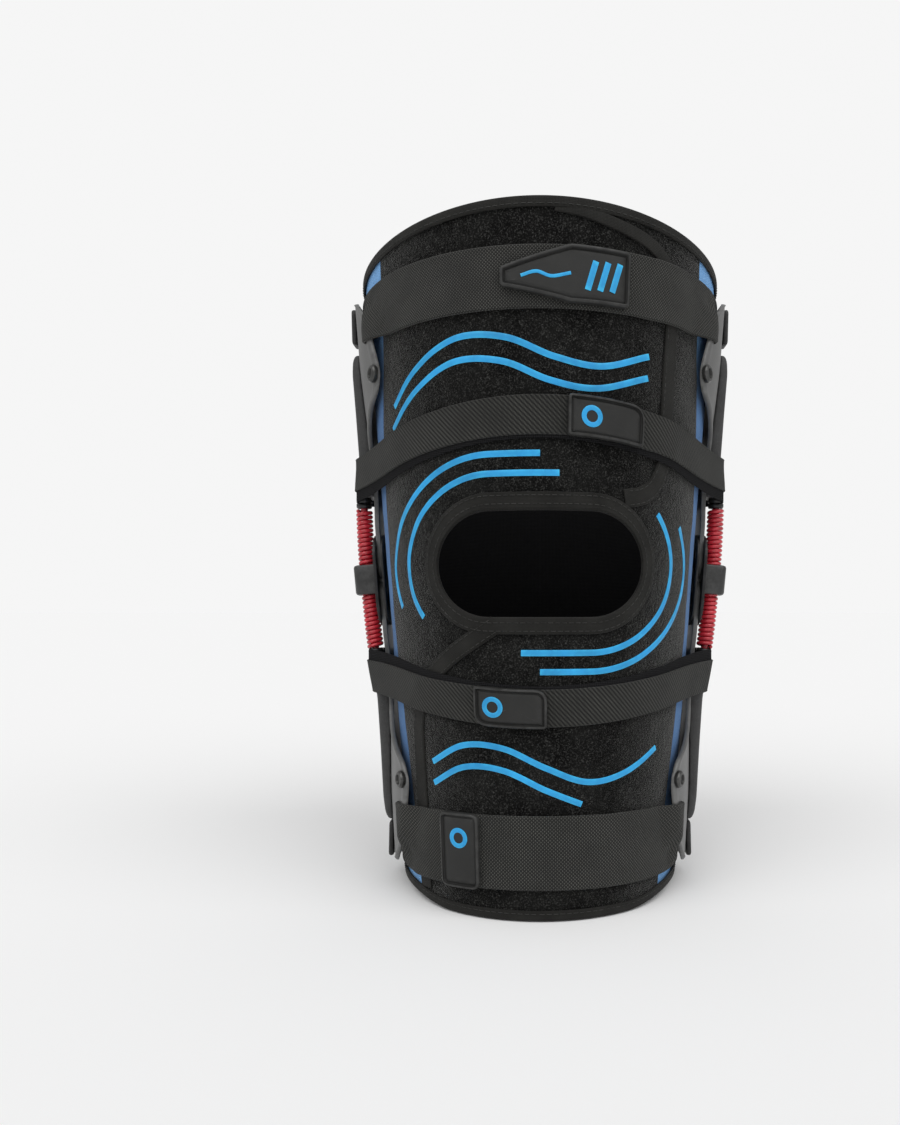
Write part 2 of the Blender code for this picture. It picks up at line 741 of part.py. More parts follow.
def route_angle(route, height):
    """The angle at which a flap tape passes a height, along the stretch that climbs the sleeve."""
    share = height / SLEEVE_HEIGHT
    places = sorted(route, key=lambda place: place.height)
    return read_table(places, "height", share, "angle")


def strap_supports(strap, share):
    """Points that a strap's edge could rest on, all a seat gap clear of the piece below."""
    supports = []
    for step in range(STRAP_STEPS):
        angle = -pi + 2 * pi * (step + 0.5) / STRAP_STEPS
        height = strap_height(strap, angle, share)
        supports.append(polar(angle, sleeve_radius(height) / cos(pi / STRAP_STEPS) + SEAT_GAP, height))
    near = route_angle(strap.flap_route, strap.height)
    height = strap_height(strap, near, share)
    middle = route_angle(strap.flap_route, height)
    over_tape = sleeve_radius(height) + SEAT_GAP + TAPE_THICKNESS + SEAT_GAP
    tape_half = SLANTED_TAPE_SHARE * FLAP_TAPE_WIDTH / sleeve_radius(height)
    for angle in (middle - tape_half, middle, middle + tape_half):
        supports.append(polar(angle, over_tape / cos(tape_half), height))
    if strap.over_housings:
        height = strap_height(strap, pi / 2, share)
        outer, half = housing_corners(height)
        corner = HOUSING_WIDTH / 8
        for side in (-1, 1):
            for end in (-1, 1):
                centre = Vector((side * (outer - corner), end * (half - corner), height))
                for turn in HOUSING_CORNER_TURNS:
                    way = Vector((side * cos(turn * pi / 2), end * sin(turn * pi / 2), 0.0))
                    supports.append(centre + way * (corner + SEAT_GAP))
    return supports


def pulled_tight(points):
    """The places in a list of the points on its convex hull seen from above, in turn."""
    order = sorted(range(len(points)), key=lambda place: (points[place].x, points[place].y))

    def half_hull(places):
        chain = []
        for place in places:
            while len(chain) > 1:
                first, last = points[chain[-2]].xy, points[chain[-1]].xy
                if (last - first).cross(points[place].xy - last) > 0:
                    break
                chain.pop()
            chain.append(place)
        return chain[:-1]

    return half_hull(order) + half_hull(list(reversed(order)))


def add_straps():
    for strap in STRAPS:
        places = pulled_tight(strap_supports(strap, 0.0))
        edges = [strap_supports(strap, share) for share in (-1, 1)]
        columns = [[edge[place] for edge in edges] for place in places]
        piece = add_piece(strap.name, surface_mesh(strap.name, columns, closed=True), WEBBING)
        thicken(piece, WEBBING_THICKNESS, 1)


def add_tab(name, strap, outline):
    """A rubber piece that lies on its strap and follows its curve."""
    columns = []
    for place in outline:
        column = []
        for part in (0.0, 0.5, 1.0):
            height = strap_height(strap, place.across, place.low + (place.high - place.low) * part)
            strap_face = sleeve_radius(height) / cos(pi / STRAP_STEPS) + SEAT_GAP + WEBBING_THICKNESS
            column.append(polar(place.across, strap_face + SEAT_GAP, height))
        columns.append(column)
    piece = add_piece(name, surface_mesh(name, columns), RUBBER)
    thicken(piece, TAB_THICKNESS, 1)


def add_tabs():
    outlines = (
        ("thigh_badge", THIGH_BADGE),
        ("upper_knee_tab", UPPER_KNEE_TAB),
        ("lower_knee_tab", LOWER_KNEE_TAB),
        ("calf_tab", CALF_TAB),
    )
    for strap, (name, outline) in zip(STRAPS, outlines):
        add_tab(name, strap, outline)


def wing_half_width(pin_height, end_height):
    return UPPER_WING_HALF_WIDTH if end_height > pin_height else LOWER_WING_HALF_WIDTH


def frame_half_width(pin_height, end_height, reach):
    width = read_table(FRAME_SECTIONS, "reach", reach, "width")
    return TONGUE_HALF_WIDTH + (wing_half_width(pin_height, end_height) - TONGUE_HALF_WIDTH) * width


def frame_columns(side, pin_height, end_height):
    """A frame's inner surface, from its round tongue at the hinge to the end of its wing."""
    away = 1 if end_height > pin_height else -1
    rounding = 4
    rows = []
    for step in range(1, rounding + 1):
        turn = pi / 2 * step / rounding
        height = pin_height - away * TONGUE_HALF_WIDTH * cos(turn)
        rows.append((height, TONGUE_HALF_WIDTH * sin(turn), frame_inner(height, 0.0), 0.0))
    for section in FRAME_SECTIONS:
        height = pin_height + (end_height - pin_height) * section.reach
        half_width = frame_half_width(pin_height, end_height, section.reach)
        rows.append((height, half_width, frame_inner(height, section.reach), section.bend))
    if away < 0:
        rows.reverse()
    columns = []
    for share in FRAME_COLUMNS:
        column = []
        for height, half_width, middle, bend in rows:
            turn = share * half_width / middle
            across = middle * sin(turn) * bend + share * half_width * (1 - bend)
            column.append(Vector((side * (middle - bend * middle * (1 - cos(turn))), across, height)))
        columns.append(column)
    return columns if side > 0 else list(reversed(columns))


def lean_across(side, place):
    """A piece's own Z turned to point straight out of the leaning hinge stack, at a place."""
    lean = hinge_lean()
    outwards = Vector((side * cos(lean), 0.0, -sin(lean)))
    return Matrix.Translation(place) @ outwards.to_track_quat("Z", "Y").to_matrix().to_4x4()


def pin_heights():
    return HINGE_MIDDLE + PIN_SPACING / 2, HINGE_MIDDLE - PIN_SPACING / 2


def add_frames():
    upper_pin, lower_pin = pin_heights()
    for side_name, side in SIDES:
        holes = []
        for level, pin in (("upper", upper_pin), ("lower", lower_pin)):
            mesh = cylinder_mesh("pin_hole", PIN_RADIUS + SEAT_GAP, CALF_RADIUS / 2)
            hole = add_cutter(f"{level}_pin_hole_{side_name}", mesh)
            hole.matrix_world = lean_across(side, hinge_place(side, pin, 0.0))
            holes.append(hole)
        for level, pin, end, hole in (
            ("upper", upper_pin, UPPER_FRAME_TOP, holes[0]),
            ("lower", lower_pin, LOWER_FRAME_BOTTOM, holes[1]),
        ):
            name = f"{level}_frame_{side_name}"
            piece = add_piece(name, surface_mesh(name, frame_columns(side, pin, end)), FRAME_GREY)
            thicken(piece, FRAME_THICKNESS, 1)
            cut(piece, hole)
        add_hinge_covers(side_name, side, holes)
        add_hinge_pins(side_name, side)


def cover_outline():
    """A round-ended plate round both pins."""
    run = HINGE_COVER_HEIGHT / 2 - HINGE_COVER_HALF_WIDTH
    outline = []
    for centre, start in ((run, 0.0), (-run, pi)):
        for step in range(ROUND_STEPS // 2 + 1):
            turn = start + 2 * pi * step / ROUND_STEPS
            across = HINGE_COVER_HALF_WIDTH * cos(turn)
            outline.append((across, centre + HINGE_COVER_HALF_WIDTH * sin(turn)))
    return outline


def add_hinge_covers(side_name, side, holes):
    inner_cover, _, outer_cover, _ = hinge_faces()
    for level, start, thickness in (
        ("inner", inner_cover, HINGE_COVER_INNER),
        ("outer", outer_cover, HINGE_COVER_OUTER),
    ):
        name = f"hinge_cover_{level}_{side_name}"
        piece = add_piece(name, outline_mesh(name, cover_outline(), thickness), HINGE_GREY)
        distance = start + thickness / 2 - sleeve_radius(HINGE_MIDDLE)
        piece.location = hinge_place(side, HINGE_MIDDLE, distance)
        piece.rotation_euler = (0.0, side * hinge_lean(), 0.0)
        for hole in holes:
            cut(piece, hole)


def add_hinge_pins(side_name, side):
    """Rivets through the stack, flush with both covers."""
    inner_cover, _, _, outside = hinge_faces()
    for level, height in zip(("upper", "lower"), pin_heights()):
        name = f"hinge_pin_{level}_{side_name}"
        piece = add_piece(name, cylinder_mesh(name, PIN_RADIUS, outside - inner_cover), LUG_METAL)
        distance = (inner_cover + outside) / 2 - sleeve_radius(HINGE_MIDDLE)
        piece.matrix_world = lean_across(side, hinge_place(side, height, distance))


def turned_mesh(name, profile, steps):
    """A profile of radius and height turned round Z, from its top down its outer side."""
    mesh = bpy.data.meshes.new(name + "_profile")
    closed = profile[0][0] > 0
    edges = [(index, index + 1) for index in range(len(profile) - 1)]
    if closed:
        edges.append((len(profile) - 1, 0))
    mesh.from_pydata([(radius, 0.0, height) for radius, height in profile], edges, [])
    guide = bpy.data.objects.new(name + "_guide", mesh)
    bpy.context.scene.collection.objects.link(guide)
    screw = guide.modifiers.new("turn", "SCREW")
    screw.steps = steps
    screw.render_steps = steps
    screw.use_merge_vertices = True
    screw.merge_threshold = 1e-6
    graph = bpy.context.evaluated_depsgraph_get()
    turned = bpy.data.meshes.new_from_object(guide.evaluated_get(graph))
    bpy.data.objects.remove(guide, do_unlink=True)
    shape = bmesh.new()
    shape.from_mesh(turned)
    bmesh.ops.remove_doubles(shape, verts=shape.verts, dist=1e-6)
    bmesh.ops.recalc_face_normals(shape, faces=shape.faces)
    shape.to_mesh(turned)
    shape.free()
    turned.name = name
    return turned


def smooth_standoff(share):
    """The rod's standoff share at a share of its length, on one smooth curve through the table."""
    rows = ROD_SECTIONS
    share = min(max(share, rows[0].reach), rows[-1].reach)
    index = max(i for i in range(len(rows) - 1) if rows[i].reach <= share)
    points = [rows[max(index - 1, 0)], rows[index], rows[index + 1], rows[min(index + 2, len(rows) - 1)]]
    width = points[2].reach - points[1].reach
    part = (share - points[1].reach) / width
    slopes = []
    for before, after in ((points[0], points[2]), (points[1], points[3])):
        slopes.append((after.standoff - before.standoff) / (after.reach - before.reach) * width)
    first, last = points[1].standoff, points[2].standoff
    square, cube = part * part, part * part * part
    return (
        first * (2 * cube - 3 * square + 1)
        + slopes[0] * (cube - 2 * square + part)
        + last * (3 * square - 2 * cube)
        + slopes[1] * (cube - square)
    )


def rod_axis(side, height):
    standoff = ROD_STANDOFF * smooth_standoff((height - ROD_BOTTOM) / (ROD_TOP - ROD_BOTTOM))
    return Vector((side * (sleeve_radius(height) + standoff), 0.0, height))


def rod_direction(side, height):
    step = ROD_RADIUS
    return (rod_axis(side, height + step) - rod_axis(side, height - step)).normalized()


def rod_points(side, bottom, top):
    return [rod_axis(side, bottom + (top - bottom) * step / ROD_STEPS) for step in range(ROD_STEPS + 1)]


def coil_points(side):
    """The centre line of the close-wound wire, round the bowed rod."""
    count = COIL_TURNS * COIL_STEPS
    winding = COIL_RADIUS - COIL_WIRE / 2
    start, end = COIL_BOTTOM + COIL_WIRE / 2, COIL_TOP - COIL_WIRE / 2
    points = []
    for step in range(count + 1):
        height = start + (end - start) * step / count
        along = rod_direction(side, height)
        across = along.cross(Vector((0.0, 1.0, 0.0))).normalized()
        turn = 2 * pi * step / COIL_STEPS
        offset = across * cos(turn) + along.cross(across) * sin(turn)
        points.append(rod_axis(side, height) + offset * winding)
    return points


def add_springs():
    for side_name, side in SIDES:
        rod_name = "spring_rod_" + side_name
        rod = tube_mesh(rod_name, rod_points(side, ROD_BOTTOM, ROD_TOP), ROD_RADIUS, ROD_SIDES)
        add_piece(rod_name, rod, SPRING_RED)
        coil_name = "spring_coil_" + side_name
        coil = tube_mesh(coil_name, coil_points(side), COIL_WIRE / 2, COIL_WIRE_SIDES)
        add_piece(coil_name, coil, SPRING_RED)
        add_ferrules(side_name, side)
        add_clamp(side_name, side)


def add_ferrules(side_name, side):
    bore = ROD_RADIUS + SEAT_GAP
    half = FERRULE_LENGTH / 2
    profile = (
        (bore, half),
        (FERRULE_RADIUS * 0.86, half),
        (FERRULE_RADIUS, half * 0.6),
        (FERRULE_RADIUS, -half * 0.6),
        (FERRULE_RADIUS * 0.86, -half),
        (bore, -half),
    )
    upper = COIL_TOP + SEAT_GAP + half
    lower = COIL_BOTTOM - SEAT_GAP - half
    for level, height in (("upper", upper), ("lower", lower)):
        name = f"{level}_ferrule_{side_name}"
        piece = add_piece(name, turned_mesh(name, profile, ROUND_STEPS), FERRULE_BLACK)
        piece.location = rod_axis(side, height)
        piece.rotation_euler = rod_direction(side, height).to_track_quat("Z", "Y").to_euler()


def add_clamp(side_name, side):
    """A saddle over the coil's middle, with its two feet on the hinge's outer cover."""
    _, _, _, cover_face = hinge_faces()
    axis = rod_axis(side, HINGE_MIDDLE)
    channel = COIL_RADIUS + SEAT_GAP
    inner = cover_face + CLAMP_HEIGHT / 2 * sin(hinge_lean()) + SEAT_GAP
    outer = abs(axis.x) + channel + CLAMP_WALL
    name = "spring_clamp_" + side_name
    piece = add_piece(name, block_mesh(name, (outer - inner, CLAMP_WIDTH, CLAMP_HEIGHT)), HINGE_GREY)
    piece.location = (side * (inner + outer) / 2, 0.0, HINGE_MIDDLE)
    edges = piece.modifiers.new("rounded_edges", "BEVEL")
    edges.width = CLAMP_WALL
    edges.segments = 2
    direction = rod_direction(side, HINGE_MIDDLE)
    bore = add_cutter(
        "coil_channel_" + side_name, cylinder_mesh("coil_channel", channel, 2 * CLAMP_HEIGHT, ROD_STEPS)
    )
    bore.location = axis
    bore.rotation_euler = direction.to_track_quat("Z", "Y").to_euler()
    cut(piece, bore)
    slot = add_cutter(
        "coil_slot_" + side_name, block_mesh("coil_slot", (2 * channel, 2 * channel, 2 * CLAMP_HEIGHT))
    )
    slot.location = axis - Vector((side * channel, 0.0, 0.0))
    slot.rotation_euler = bore.rotation_euler
    cut(piece, slot)


def frame_outer(height):
    """The outer face of whichever frame reaches this height, on its middle line."""
    upper_pin, lower_pin = pin_heights()
    if height > HINGE_MIDDLE:
        reach = (height - upper_pin) / (UPPER_FRAME_TOP - upper_pin)
    else:
        reach = (lower_pin - height) / (lower_pin - LOWER_FRAME_BOTTOM)
    return frame_inner(height, reach) + FRAME_THICKNESS


def add_housings():
    """Moulded covers on the frames' outer faces, bored for the rod."""
    for side_name, side in SIDES:
        bore = add_cutter(
            "rod_bore_" + side_name,
            tube_mesh(
                "rod_bore",
                rod_points(side, ROD_BOTTOM - SEAT_GAP, ROD_TOP + SEAT_GAP),
                ROD_RADIUS + SEAT_GAP,
                ROD_SIDES,
            ),
        )
        for level, (spring_end, free_end) in zip(("upper", "lower"), housing_ends()):
            sections = []
            for section in HOUSING_SECTIONS:
                height = spring_end + (free_end - spring_end) * section.reach
                inner = frame_outer(height) + 2 * SEAT_GAP
                outer = sleeve_radius(height) + HOUSING_STANDOFF * section.depth
                outer = max(outer, inner + FRAME_THICKNESS)
                half = HOUSING_WIDTH / 2 * section.width
                corner = min(HOUSING_WIDTH / 4, (outer - inner) / 2)
                outline = (
                    (inner, -half),
                    (outer - corner, -half),
                    (outer - corner * CORNER_CUT, -half + corner * CORNER_CUT),
                    (outer, -half + corner),
                    (outer, half - corner),
                    (outer - corner * CORNER_CUT, half - corner * CORNER_CUT),
                    (outer - corner, half),
                    (inner, half),
                )
                sections.append([Vector((side * x, y, height)) for x, y in outline])
            name = f"{level}_housing_{side_name}"
            piece = add_piece(name, loft_mesh(name, sections, closed=False), HOUSING_GREY)
            cut(piece, bore)


def add_lugs_and_end_tabs():
    upper_pin, lower_pin = pin_heights()
    frames = (("upper", upper_pin, UPPER_FRAME_TOP), ("lower", lower_pin, LOWER_FRAME_BOTTOM))
    for side_name, side in SIDES:
        for level, pin, end in frames:
            height = pin + (end - pin) * LUG_REACH
            radius = frame_inner(height, LUG_REACH) + FRAME_THICKNESS + SEAT_GAP
            turn = (frame_half_width(pin, end, LUG_REACH) - LUG_RADIUS) / radius
            angle = side * (pi / 2 - turn)
            name = f"{level}_lug_{side_name}"
            piece = add_piece(name, cylinder_mesh(name, LUG_RADIUS, LUG_HEIGHT), LUG_METAL)
            piece.location = polar(angle, radius + LUG_HEIGHT / 2, height)
            outwards = polar(angle, 1.0, 0.0)
            piece.rotation_euler = outwards.to_track_quat("Z", "Y").to_euler()
            add_end_tab(f"{level}_end_tab_{side_name}", side, end, level)


def add_end_tab(name, side, end, level):
    away = 1 if level == "upper" else -1
    middle = end - away * END_TAB_HEIGHT / 2
    half = END_TAB_HEIGHT / 2
    inner = max(frame_outer(middle + half), frame_outer(middle - half)) + SEAT_GAP
    size = (END_TAB_THICKNESS, END_TAB_WIDTH, END_TAB_HEIGHT)
    piece = add_piece(name, block_mesh(name, size), HOUSING_GREY)
    piece.location = (side * (inner + END_TAB_THICKNESS / 2), 0.0, middle)
    edges = piece.modifiers.new("rounded_edges", "BEVEL")
    edges.width = END_TAB_THICKNESS / 3
    edges.segments = 1


clear_scene()
new_collection("hinged_knee_brace")
new_collection("cutters", is_helper=True)
add_front_and_back()
add_side_panels()
add_edge_bindings()
add_opening_binding()
add_flap_tape("upper_flap_tape", UPPER_FLAP_ROUTE)
add_flap_tape("lower_flap_tape", LOWER_FLAP_ROUTE)
add_straps()
add_tabs()
add_frames()
add_springs()
add_housings()
add_lugs_and_end_tabs()
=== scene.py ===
"""The hinged knee brace as it looks: plush sleeve, webbing straps, moulded frames and red springs.

Metres, +Z up, front towards -Y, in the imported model's own frame.
"""

from collections import namedtuple
from math import asin, atan2, ceil, cos, pi, radians, sin, sqrt

import bmesh
import bpy
from mathutils import Matrix, Vector, noise


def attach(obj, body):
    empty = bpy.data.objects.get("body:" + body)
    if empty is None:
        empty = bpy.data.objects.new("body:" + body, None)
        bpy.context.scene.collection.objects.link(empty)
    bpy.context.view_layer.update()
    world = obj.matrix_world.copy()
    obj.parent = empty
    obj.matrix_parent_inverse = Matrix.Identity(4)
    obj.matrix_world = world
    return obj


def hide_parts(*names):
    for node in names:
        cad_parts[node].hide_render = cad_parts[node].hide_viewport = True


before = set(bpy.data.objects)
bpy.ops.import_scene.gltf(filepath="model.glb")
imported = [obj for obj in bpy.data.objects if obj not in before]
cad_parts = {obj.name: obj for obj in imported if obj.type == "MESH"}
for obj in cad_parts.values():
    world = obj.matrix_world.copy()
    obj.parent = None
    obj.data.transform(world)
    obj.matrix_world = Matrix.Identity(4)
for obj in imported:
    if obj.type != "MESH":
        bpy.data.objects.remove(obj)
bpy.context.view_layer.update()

# Sleeve, in metres
SLEEVE_HEIGHT = 0.299
THIGH_RADIUS = 0.0875
CALF_RADIUS = 0.0662
SLEEVE_WALL = 0.004
RIM_DIP = 0.0085
HEM_RISE = 0.0042
HEM_FLAT_ANGLE = radians(35)
SIDE_PANEL_HALF_ANGLE = radians(35)
TAPE_THICKNESS = 0.0008
RIM_BINDING_WIDTH = 0.0035
FLAP_TAPE_WIDTH = 0.008
OPENING_WIDTH = 0.090
OPENING_HEIGHT = 0.0465
OPENING_MIDDLE = 0.152
OPENING_BINDING_WIDTH = 0.006
GAP = 0.0003
BINDING_SEAT = GAP * 0.3
FLAP_SEAT = GAP * 0.2
FLAP_NARROWS_BELOW_RIM = 0.034
RIM_STEPS = 256

# The padded wall is slightly uneven: (height, ripples in a metre), and how far its face sinks with them
WALL_RIPPLES = ((0.00045, 28), (0.00016, 95))
WALL_SINK = 0.0004
# Columns and rows of each wall's mesh
FRONT_GRID = (96, 150)
BACK_GRID = (80, 110)
SIDE_GRID = (32, 110)

# Thread stitches
STITCH_LENGTH = 0.0019
STITCH_PITCH = 0.0029
THREAD_RADIUS = 0.00016

# Straps. Their reach is worked out at even steps round the leg and at some shares of the half width
WEBBING_THICKNESS = 0.0015
STRAP_STEPS = 288
STRAP_LEVELS = (-1.0, -0.5, 0.0, 0.5, 1.0)
# The thigh and calf straps climb over a wing's front edge within the climb, and past the slot's angle they
# dip under the wing within the slot's turn
WING_SLOT_ANGLE = radians(63)
WING_SLOT_TURN = radians(2.5)
WING_CLIMB = radians(8)
# A black strip behind the knee straps, put where there is only the shade under their edges: painted shade.
# Its section is (share of its reach, share of its thickness)
SHADE_STRIP_THICKNESS = 0.0009
SHADE_STRIP_FRONT_REACH = 0.0014
SHADE_STRIP_SIDE_REACH = 0.0040
SHADE_STRIP_SECTION = ((0.0, 0.05), (0.0, 0.75), (0.85, 0.75), (1.0, 0.55), (1.0, 0.25), (0.85, 0.05))

# Rubber pieces on the straps
TAB_THICKNESS = 0.0024
TAB_SEAT = 0.00012
TAB_FIELD_LEVEL = 0.72
TAB_POINT_SPACING = 0.0011

# Side frames and hinge
FRAME_THICKNESS = 0.0018
UPPER_WING_HALF_WIDTH = 0.0515
LOWER_WING_HALF_WIDTH = 0.0440
UPPER_LUG_FROM_MIDDLE = 0.0495
LOWER_LUG_FROM_MIDDLE = 0.0412
TONGUE_HALF_WIDTH = 0.0085
UPPER_FRAME_TOP = 0.283
LOWER_FRAME_BOTTOM = 0.010
WING_STANDOFF = 0.0033
HINGE_MIDDLE = 0.148
PIN_SPACING = 0.0178
PIN_RADIUS = 0.0025
HINGE_COVER_HALF_WIDTH = 0.013
HINGE_COVER_HEIGHT = 0.046
HINGE_COVER_INNER = 0.0012
HINGE_COVER_OUTER = 0.0016
HINGE_COVER_BEVEL = 0.0004

# Springs, ferrules and housings
ROD_RADIUS = 0.00175
ROD_STANDOFF = 0.0110
ROD_BOTTOM = 0.055
ROD_TOP = 0.242
COIL_RADIUS = 0.0042
COIL_WIRE = 0.0021
COIL_BOTTOM = 0.1135
COIL_TOP = 0.184
COIL_TURNS = 31
FERRULE_RADIUS = 0.0039
FERRULE_LENGTH = 0.0045
CLAMP_HEIGHT = 0.015
CLAMP_WIDTH = 0.014
CLAMP_WALL = 0.0017
CLAMP_CORNER = 0.0034
CLAMP_BEVEL = 0.0013
HOUSING_STANDOFF = 0.0101
HOUSING_WIDTH = 0.016
HOUSING_CORNER = 0.0042
HOUSING_END_ROUNDING = 0.008
HOUSING_MOUTH_ROUNDING = 0.0012
UPPER_HOUSING_TOP = 0.2605
LOWER_HOUSING_BOTTOM = 0.028
LUG_RADIUS = 0.004
LUG_HEIGHT = 0.0025
LUG_REACH = 0.65
END_TAB_THICKNESS = 0.0024
END_TAB_WIDTH = 0.014
END_TAB_HEIGHT = 0.017
END_TAB_CORNER = 0.0024
END_TAB_BEVEL = 0.0009

SIDES = (("left", -1), ("right", 1))

# Studio: the sky's strength as light and as seen, the key lamps, and the floor
SKY_LIGHT = 0.50
SKY_SEEN = 0.92
KEY_STRENGTH = 1.15
KEY_SPREAD = radians(50)
KEY_LAMPS = (("left_key", radians(-38)), ("right_key", radians(44)))
FLOOR_TONE = 0.90
FLOOR_SIZE = 40.0
FLOOR_DROP = 0.0002

# The photograph's camera
CAMERA_PLACE = (0.0, -0.4156, 0.1328)
LENS_LENGTH = 26.24
SENSOR_WIDTH = 36.0
LENS_SHIFT = (-0.080, 0.0422)
CLIP_START = 0.01

# How far the sleeve has widened towards the thigh, by share of its height
FLARE = (
    (0.0, 0.0),
    (0.12, 0.09),
    (0.28, 0.23),
    (0.43, 0.39),
    (0.58, 0.55),
    (0.72, 0.70),
    (0.88, 0.87),
    (1.0, 1.0),
)
# A side panel's half width as a share of its widest, by share of the sleeve's height
SIDE_PANEL = (
    (0.0, 1.00),
    (0.12, 0.92),
    (0.28, 0.74),
    (0.43, 0.63),
    (0.58, 0.63),
    (0.72, 0.74),
    (0.88, 0.92),
    (1.0, 0.98),
)
# A frame from its hinge pin outwards: its width from tongue to wing, how far it stands off, how far the
# hinge's inner cover lifts it, and how far it follows the round leg
FRAME_WIDTH = (
    (0.0, 0.0),
    (0.22, 0.0),
    (0.34, 0.07),
    (0.46, 0.22),
    (0.54, 0.52),
    (0.60, 0.90),
    (0.66, 1.00),
    (0.77, 0.92),
    (0.86, 0.80),
    (0.94, 0.50),
    (1.0, 0.10),
)
FRAME_LIFT = ((0.12, 0.0), (0.22, 0.05), (0.34, 0.15), (0.46, 0.40), (0.60, 0.75), (0.77, 1.0), (1.0, 1.0))
FRAME_SEAT = ((0.0, 1.0), (0.12, 1.0), (0.22, 0.60), (0.34, 0.0), (1.0, 0.0))
FRAME_BEND = ((0.0, 0.0), (0.12, 0.0), (0.22, 0.10), (0.34, 0.35), (0.46, 0.80), (0.54, 1.0), (1.0, 1.0))
# The rod's distance from the sleeve as a share of ROD_STANDOFF, by share of the sleeve's height
ROD_PATH = (
    (0.18, 0.65),
    (0.29, 0.66),
    (0.36, 0.86),
    (0.43, 0.95),
    (0.53, 1.00),
    (0.61, 0.94),
    (0.67, 0.80),
    (0.73, 0.67),
    (0.81, 0.65),
)
# A housing's depth as a share of HOUSING_STANDOFF, from its spring end to its free end
HOUSING_DEPTH = ((0.0, 1.20), (0.07, 1.145), (0.26, 1.0), (0.84, 1.0), (0.95, 0.90), (1.0, 0.74))

# The wrap's flat tape: angle from the front in degrees, and height as a share of the sleeve's
UPPER_FLAP_ROUTE = (
    (4.0, 0.986),
    (11.7, 0.9805),
    (19.2, 0.972),
    (25.2, 0.965),
    (30.9, 0.957),
    (35.7, 0.945),
    (39.3, 0.9285),
    (41.6, 0.905),
    (42.3, 0.880),
    (42.3, 0.780),
    (42.3, 0.675),
    (41.4, 0.647),
    (38.2, 0.621),
    (33.5, 0.607),
    (27.0, 0.601),
)
LOWER_FLAP_ROUTE = (
    (-14.5, 0.424),
    (-23.0, 0.401),
    (-32.0, 0.376),
    (-40.4, 0.347),
    (-46.0, 0.318),
    (-49.2, 0.285),
    (-50.3, 0.250),
    (-50.3, 0.130),
    (-50.3, 0.024),
)

# Printed lines on the front: angle from the front in degrees, and height in metres
WAVE_LINES = (
    ((-53, 0.2235), (-40, 0.2370), (-25, 0.2455), (-10, 0.2440), (4, 0.2360), (18, 0.2330), (34, 0.2400)),
    ((-55, 0.2140), (-41, 0.2275), (-26, 0.2360), (-11, 0.2345), (3, 0.2265), (17, 0.2240), (34, 0.2310)),
    ((-43, 0.0655), (-28, 0.0745), (-13, 0.0740), (2, 0.0660), (17, 0.0595), (32, 0.0620), (48, 0.0710)),
    ((-43, 0.0560), (-28, 0.0650), (-13, 0.0645), (2, 0.0565), (15, 0.0500)),
)
# Ripples round the kneecap opening: distance from its edge in metres, and the stretch of the loop that
# they take, as shares from the middle of the right side over the top
RIPPLE_LINES = (
    (0.0140, 0.225, 0.575),
    (0.0220, 0.250, 0.550),
    (0.0140, 0.725, 1.075),
    (0.0220, 0.750, 1.050),
)
FILM_WIDTH = 0.0026
FILM_THICKNESS = 0.0002

# How far a strap's sides lie above its front is its side shift, and its route is the tape that it crosses
Strap = namedtuple("Strap", "middle width side_shift over_housings route")
STRAPS = {
    "thigh_strap": Strap(0.2670, 0.025, 0.0, False, UPPER_FLAP_ROUTE),
    "upper_knee_strap": Strap(0.2125, 0.016, -0.0125, True, UPPER_FLAP_ROUTE),
    "lower_knee_strap": Strap(0.0915, 0.016, 0.0085, True, LOWER_FLAP_ROUTE),
    "calf_strap": Strap(0.0297, 0.032, -0.0025, False, LOWER_FLAP_ROUTE),
}

# Corners of the rubber pieces: angle from the front in degrees, share of the strap's half width, and
# the corner's radius
THIGH_BADGE = (
    (-10.6, -0.34, 0.0022),
    (8.0, -0.86, 0.0060),
    (24.6, -0.88, 0.0026),
    (24.6, 0.90, 0.0026),
    (8.0, 0.96, 0.0060),
    (-10.6, 0.26, 0.0022),
)
UPPER_KNEE_TAB = ((7.8, -1.06, 0.0018), (31.2, -1.06, 0.0020), (31.2, 1.04, 0.0068), (7.8, 1.05, 0.0018))
LOWER_KNEE_TAB = ((-21.8, -1.05, 0.0060), (2.3, -1.05, 0.0018), (2.3, 1.04, 0.0058), (-21.8, 1.05, 0.0018))
CALF_TAB = ((-37.4, -1.02, 0.0038), (-21.4, -1.02, 0.0038), (-21.4, 1.03, 0.0038), (-37.4, 1.03, 0.0038))
# Each rubber piece's strap, corners and rim
TABS = {
    "thigh_badge": ("thigh_strap", THIGH_BADGE, 0.0013),
    "upper_knee_tab": ("upper_knee_strap", UPPER_KNEE_TAB, 0.0011),
    "lower_knee_tab": ("lower_knee_strap", LOWER_KNEE_TAB, 0.0011),
    "calf_tab": ("calf_strap", CALF_TAB, 0.0011),
}
# Printed marks: the badge's slanted bars and small wave, and one ring on each tab. Angles are degrees
# from the front, and heights are metres from the strap's middle
BADGE_BAR_ANGLES = (13.6, 17.0, 20.4)
BADGE_BAR_ENDS = (-0.0056, 0.0058)
BADGE_BAR_LEAN = 0.0016
BADGE_BAR_WIDTH = 0.0025
BADGE_WAVE = ((-5, -0.0006), (-1, 0.0009), (3, -0.0009), (8, 0.0006))
BADGE_WAVE_WIDTH = 0.0013
TAB_RINGS = {"upper_knee_tab": (14.6, 0.0), "lower_knee_tab": (-15.4, 0.0), "calf_tab": (-29.4, 0.0055)}
TAB_RING_RADIUS = 0.0034
TAB_RING_WIDTH = 0.0020

# Blue cloth is darker between the outer straps, as painted shade of the frames, and paler past them: heights
# between which it turns
PAINTED_SHADE_TOP = (0.236, 0.256)
PAINTED_SHADE_BOTTOM = (0.046, 0.030)

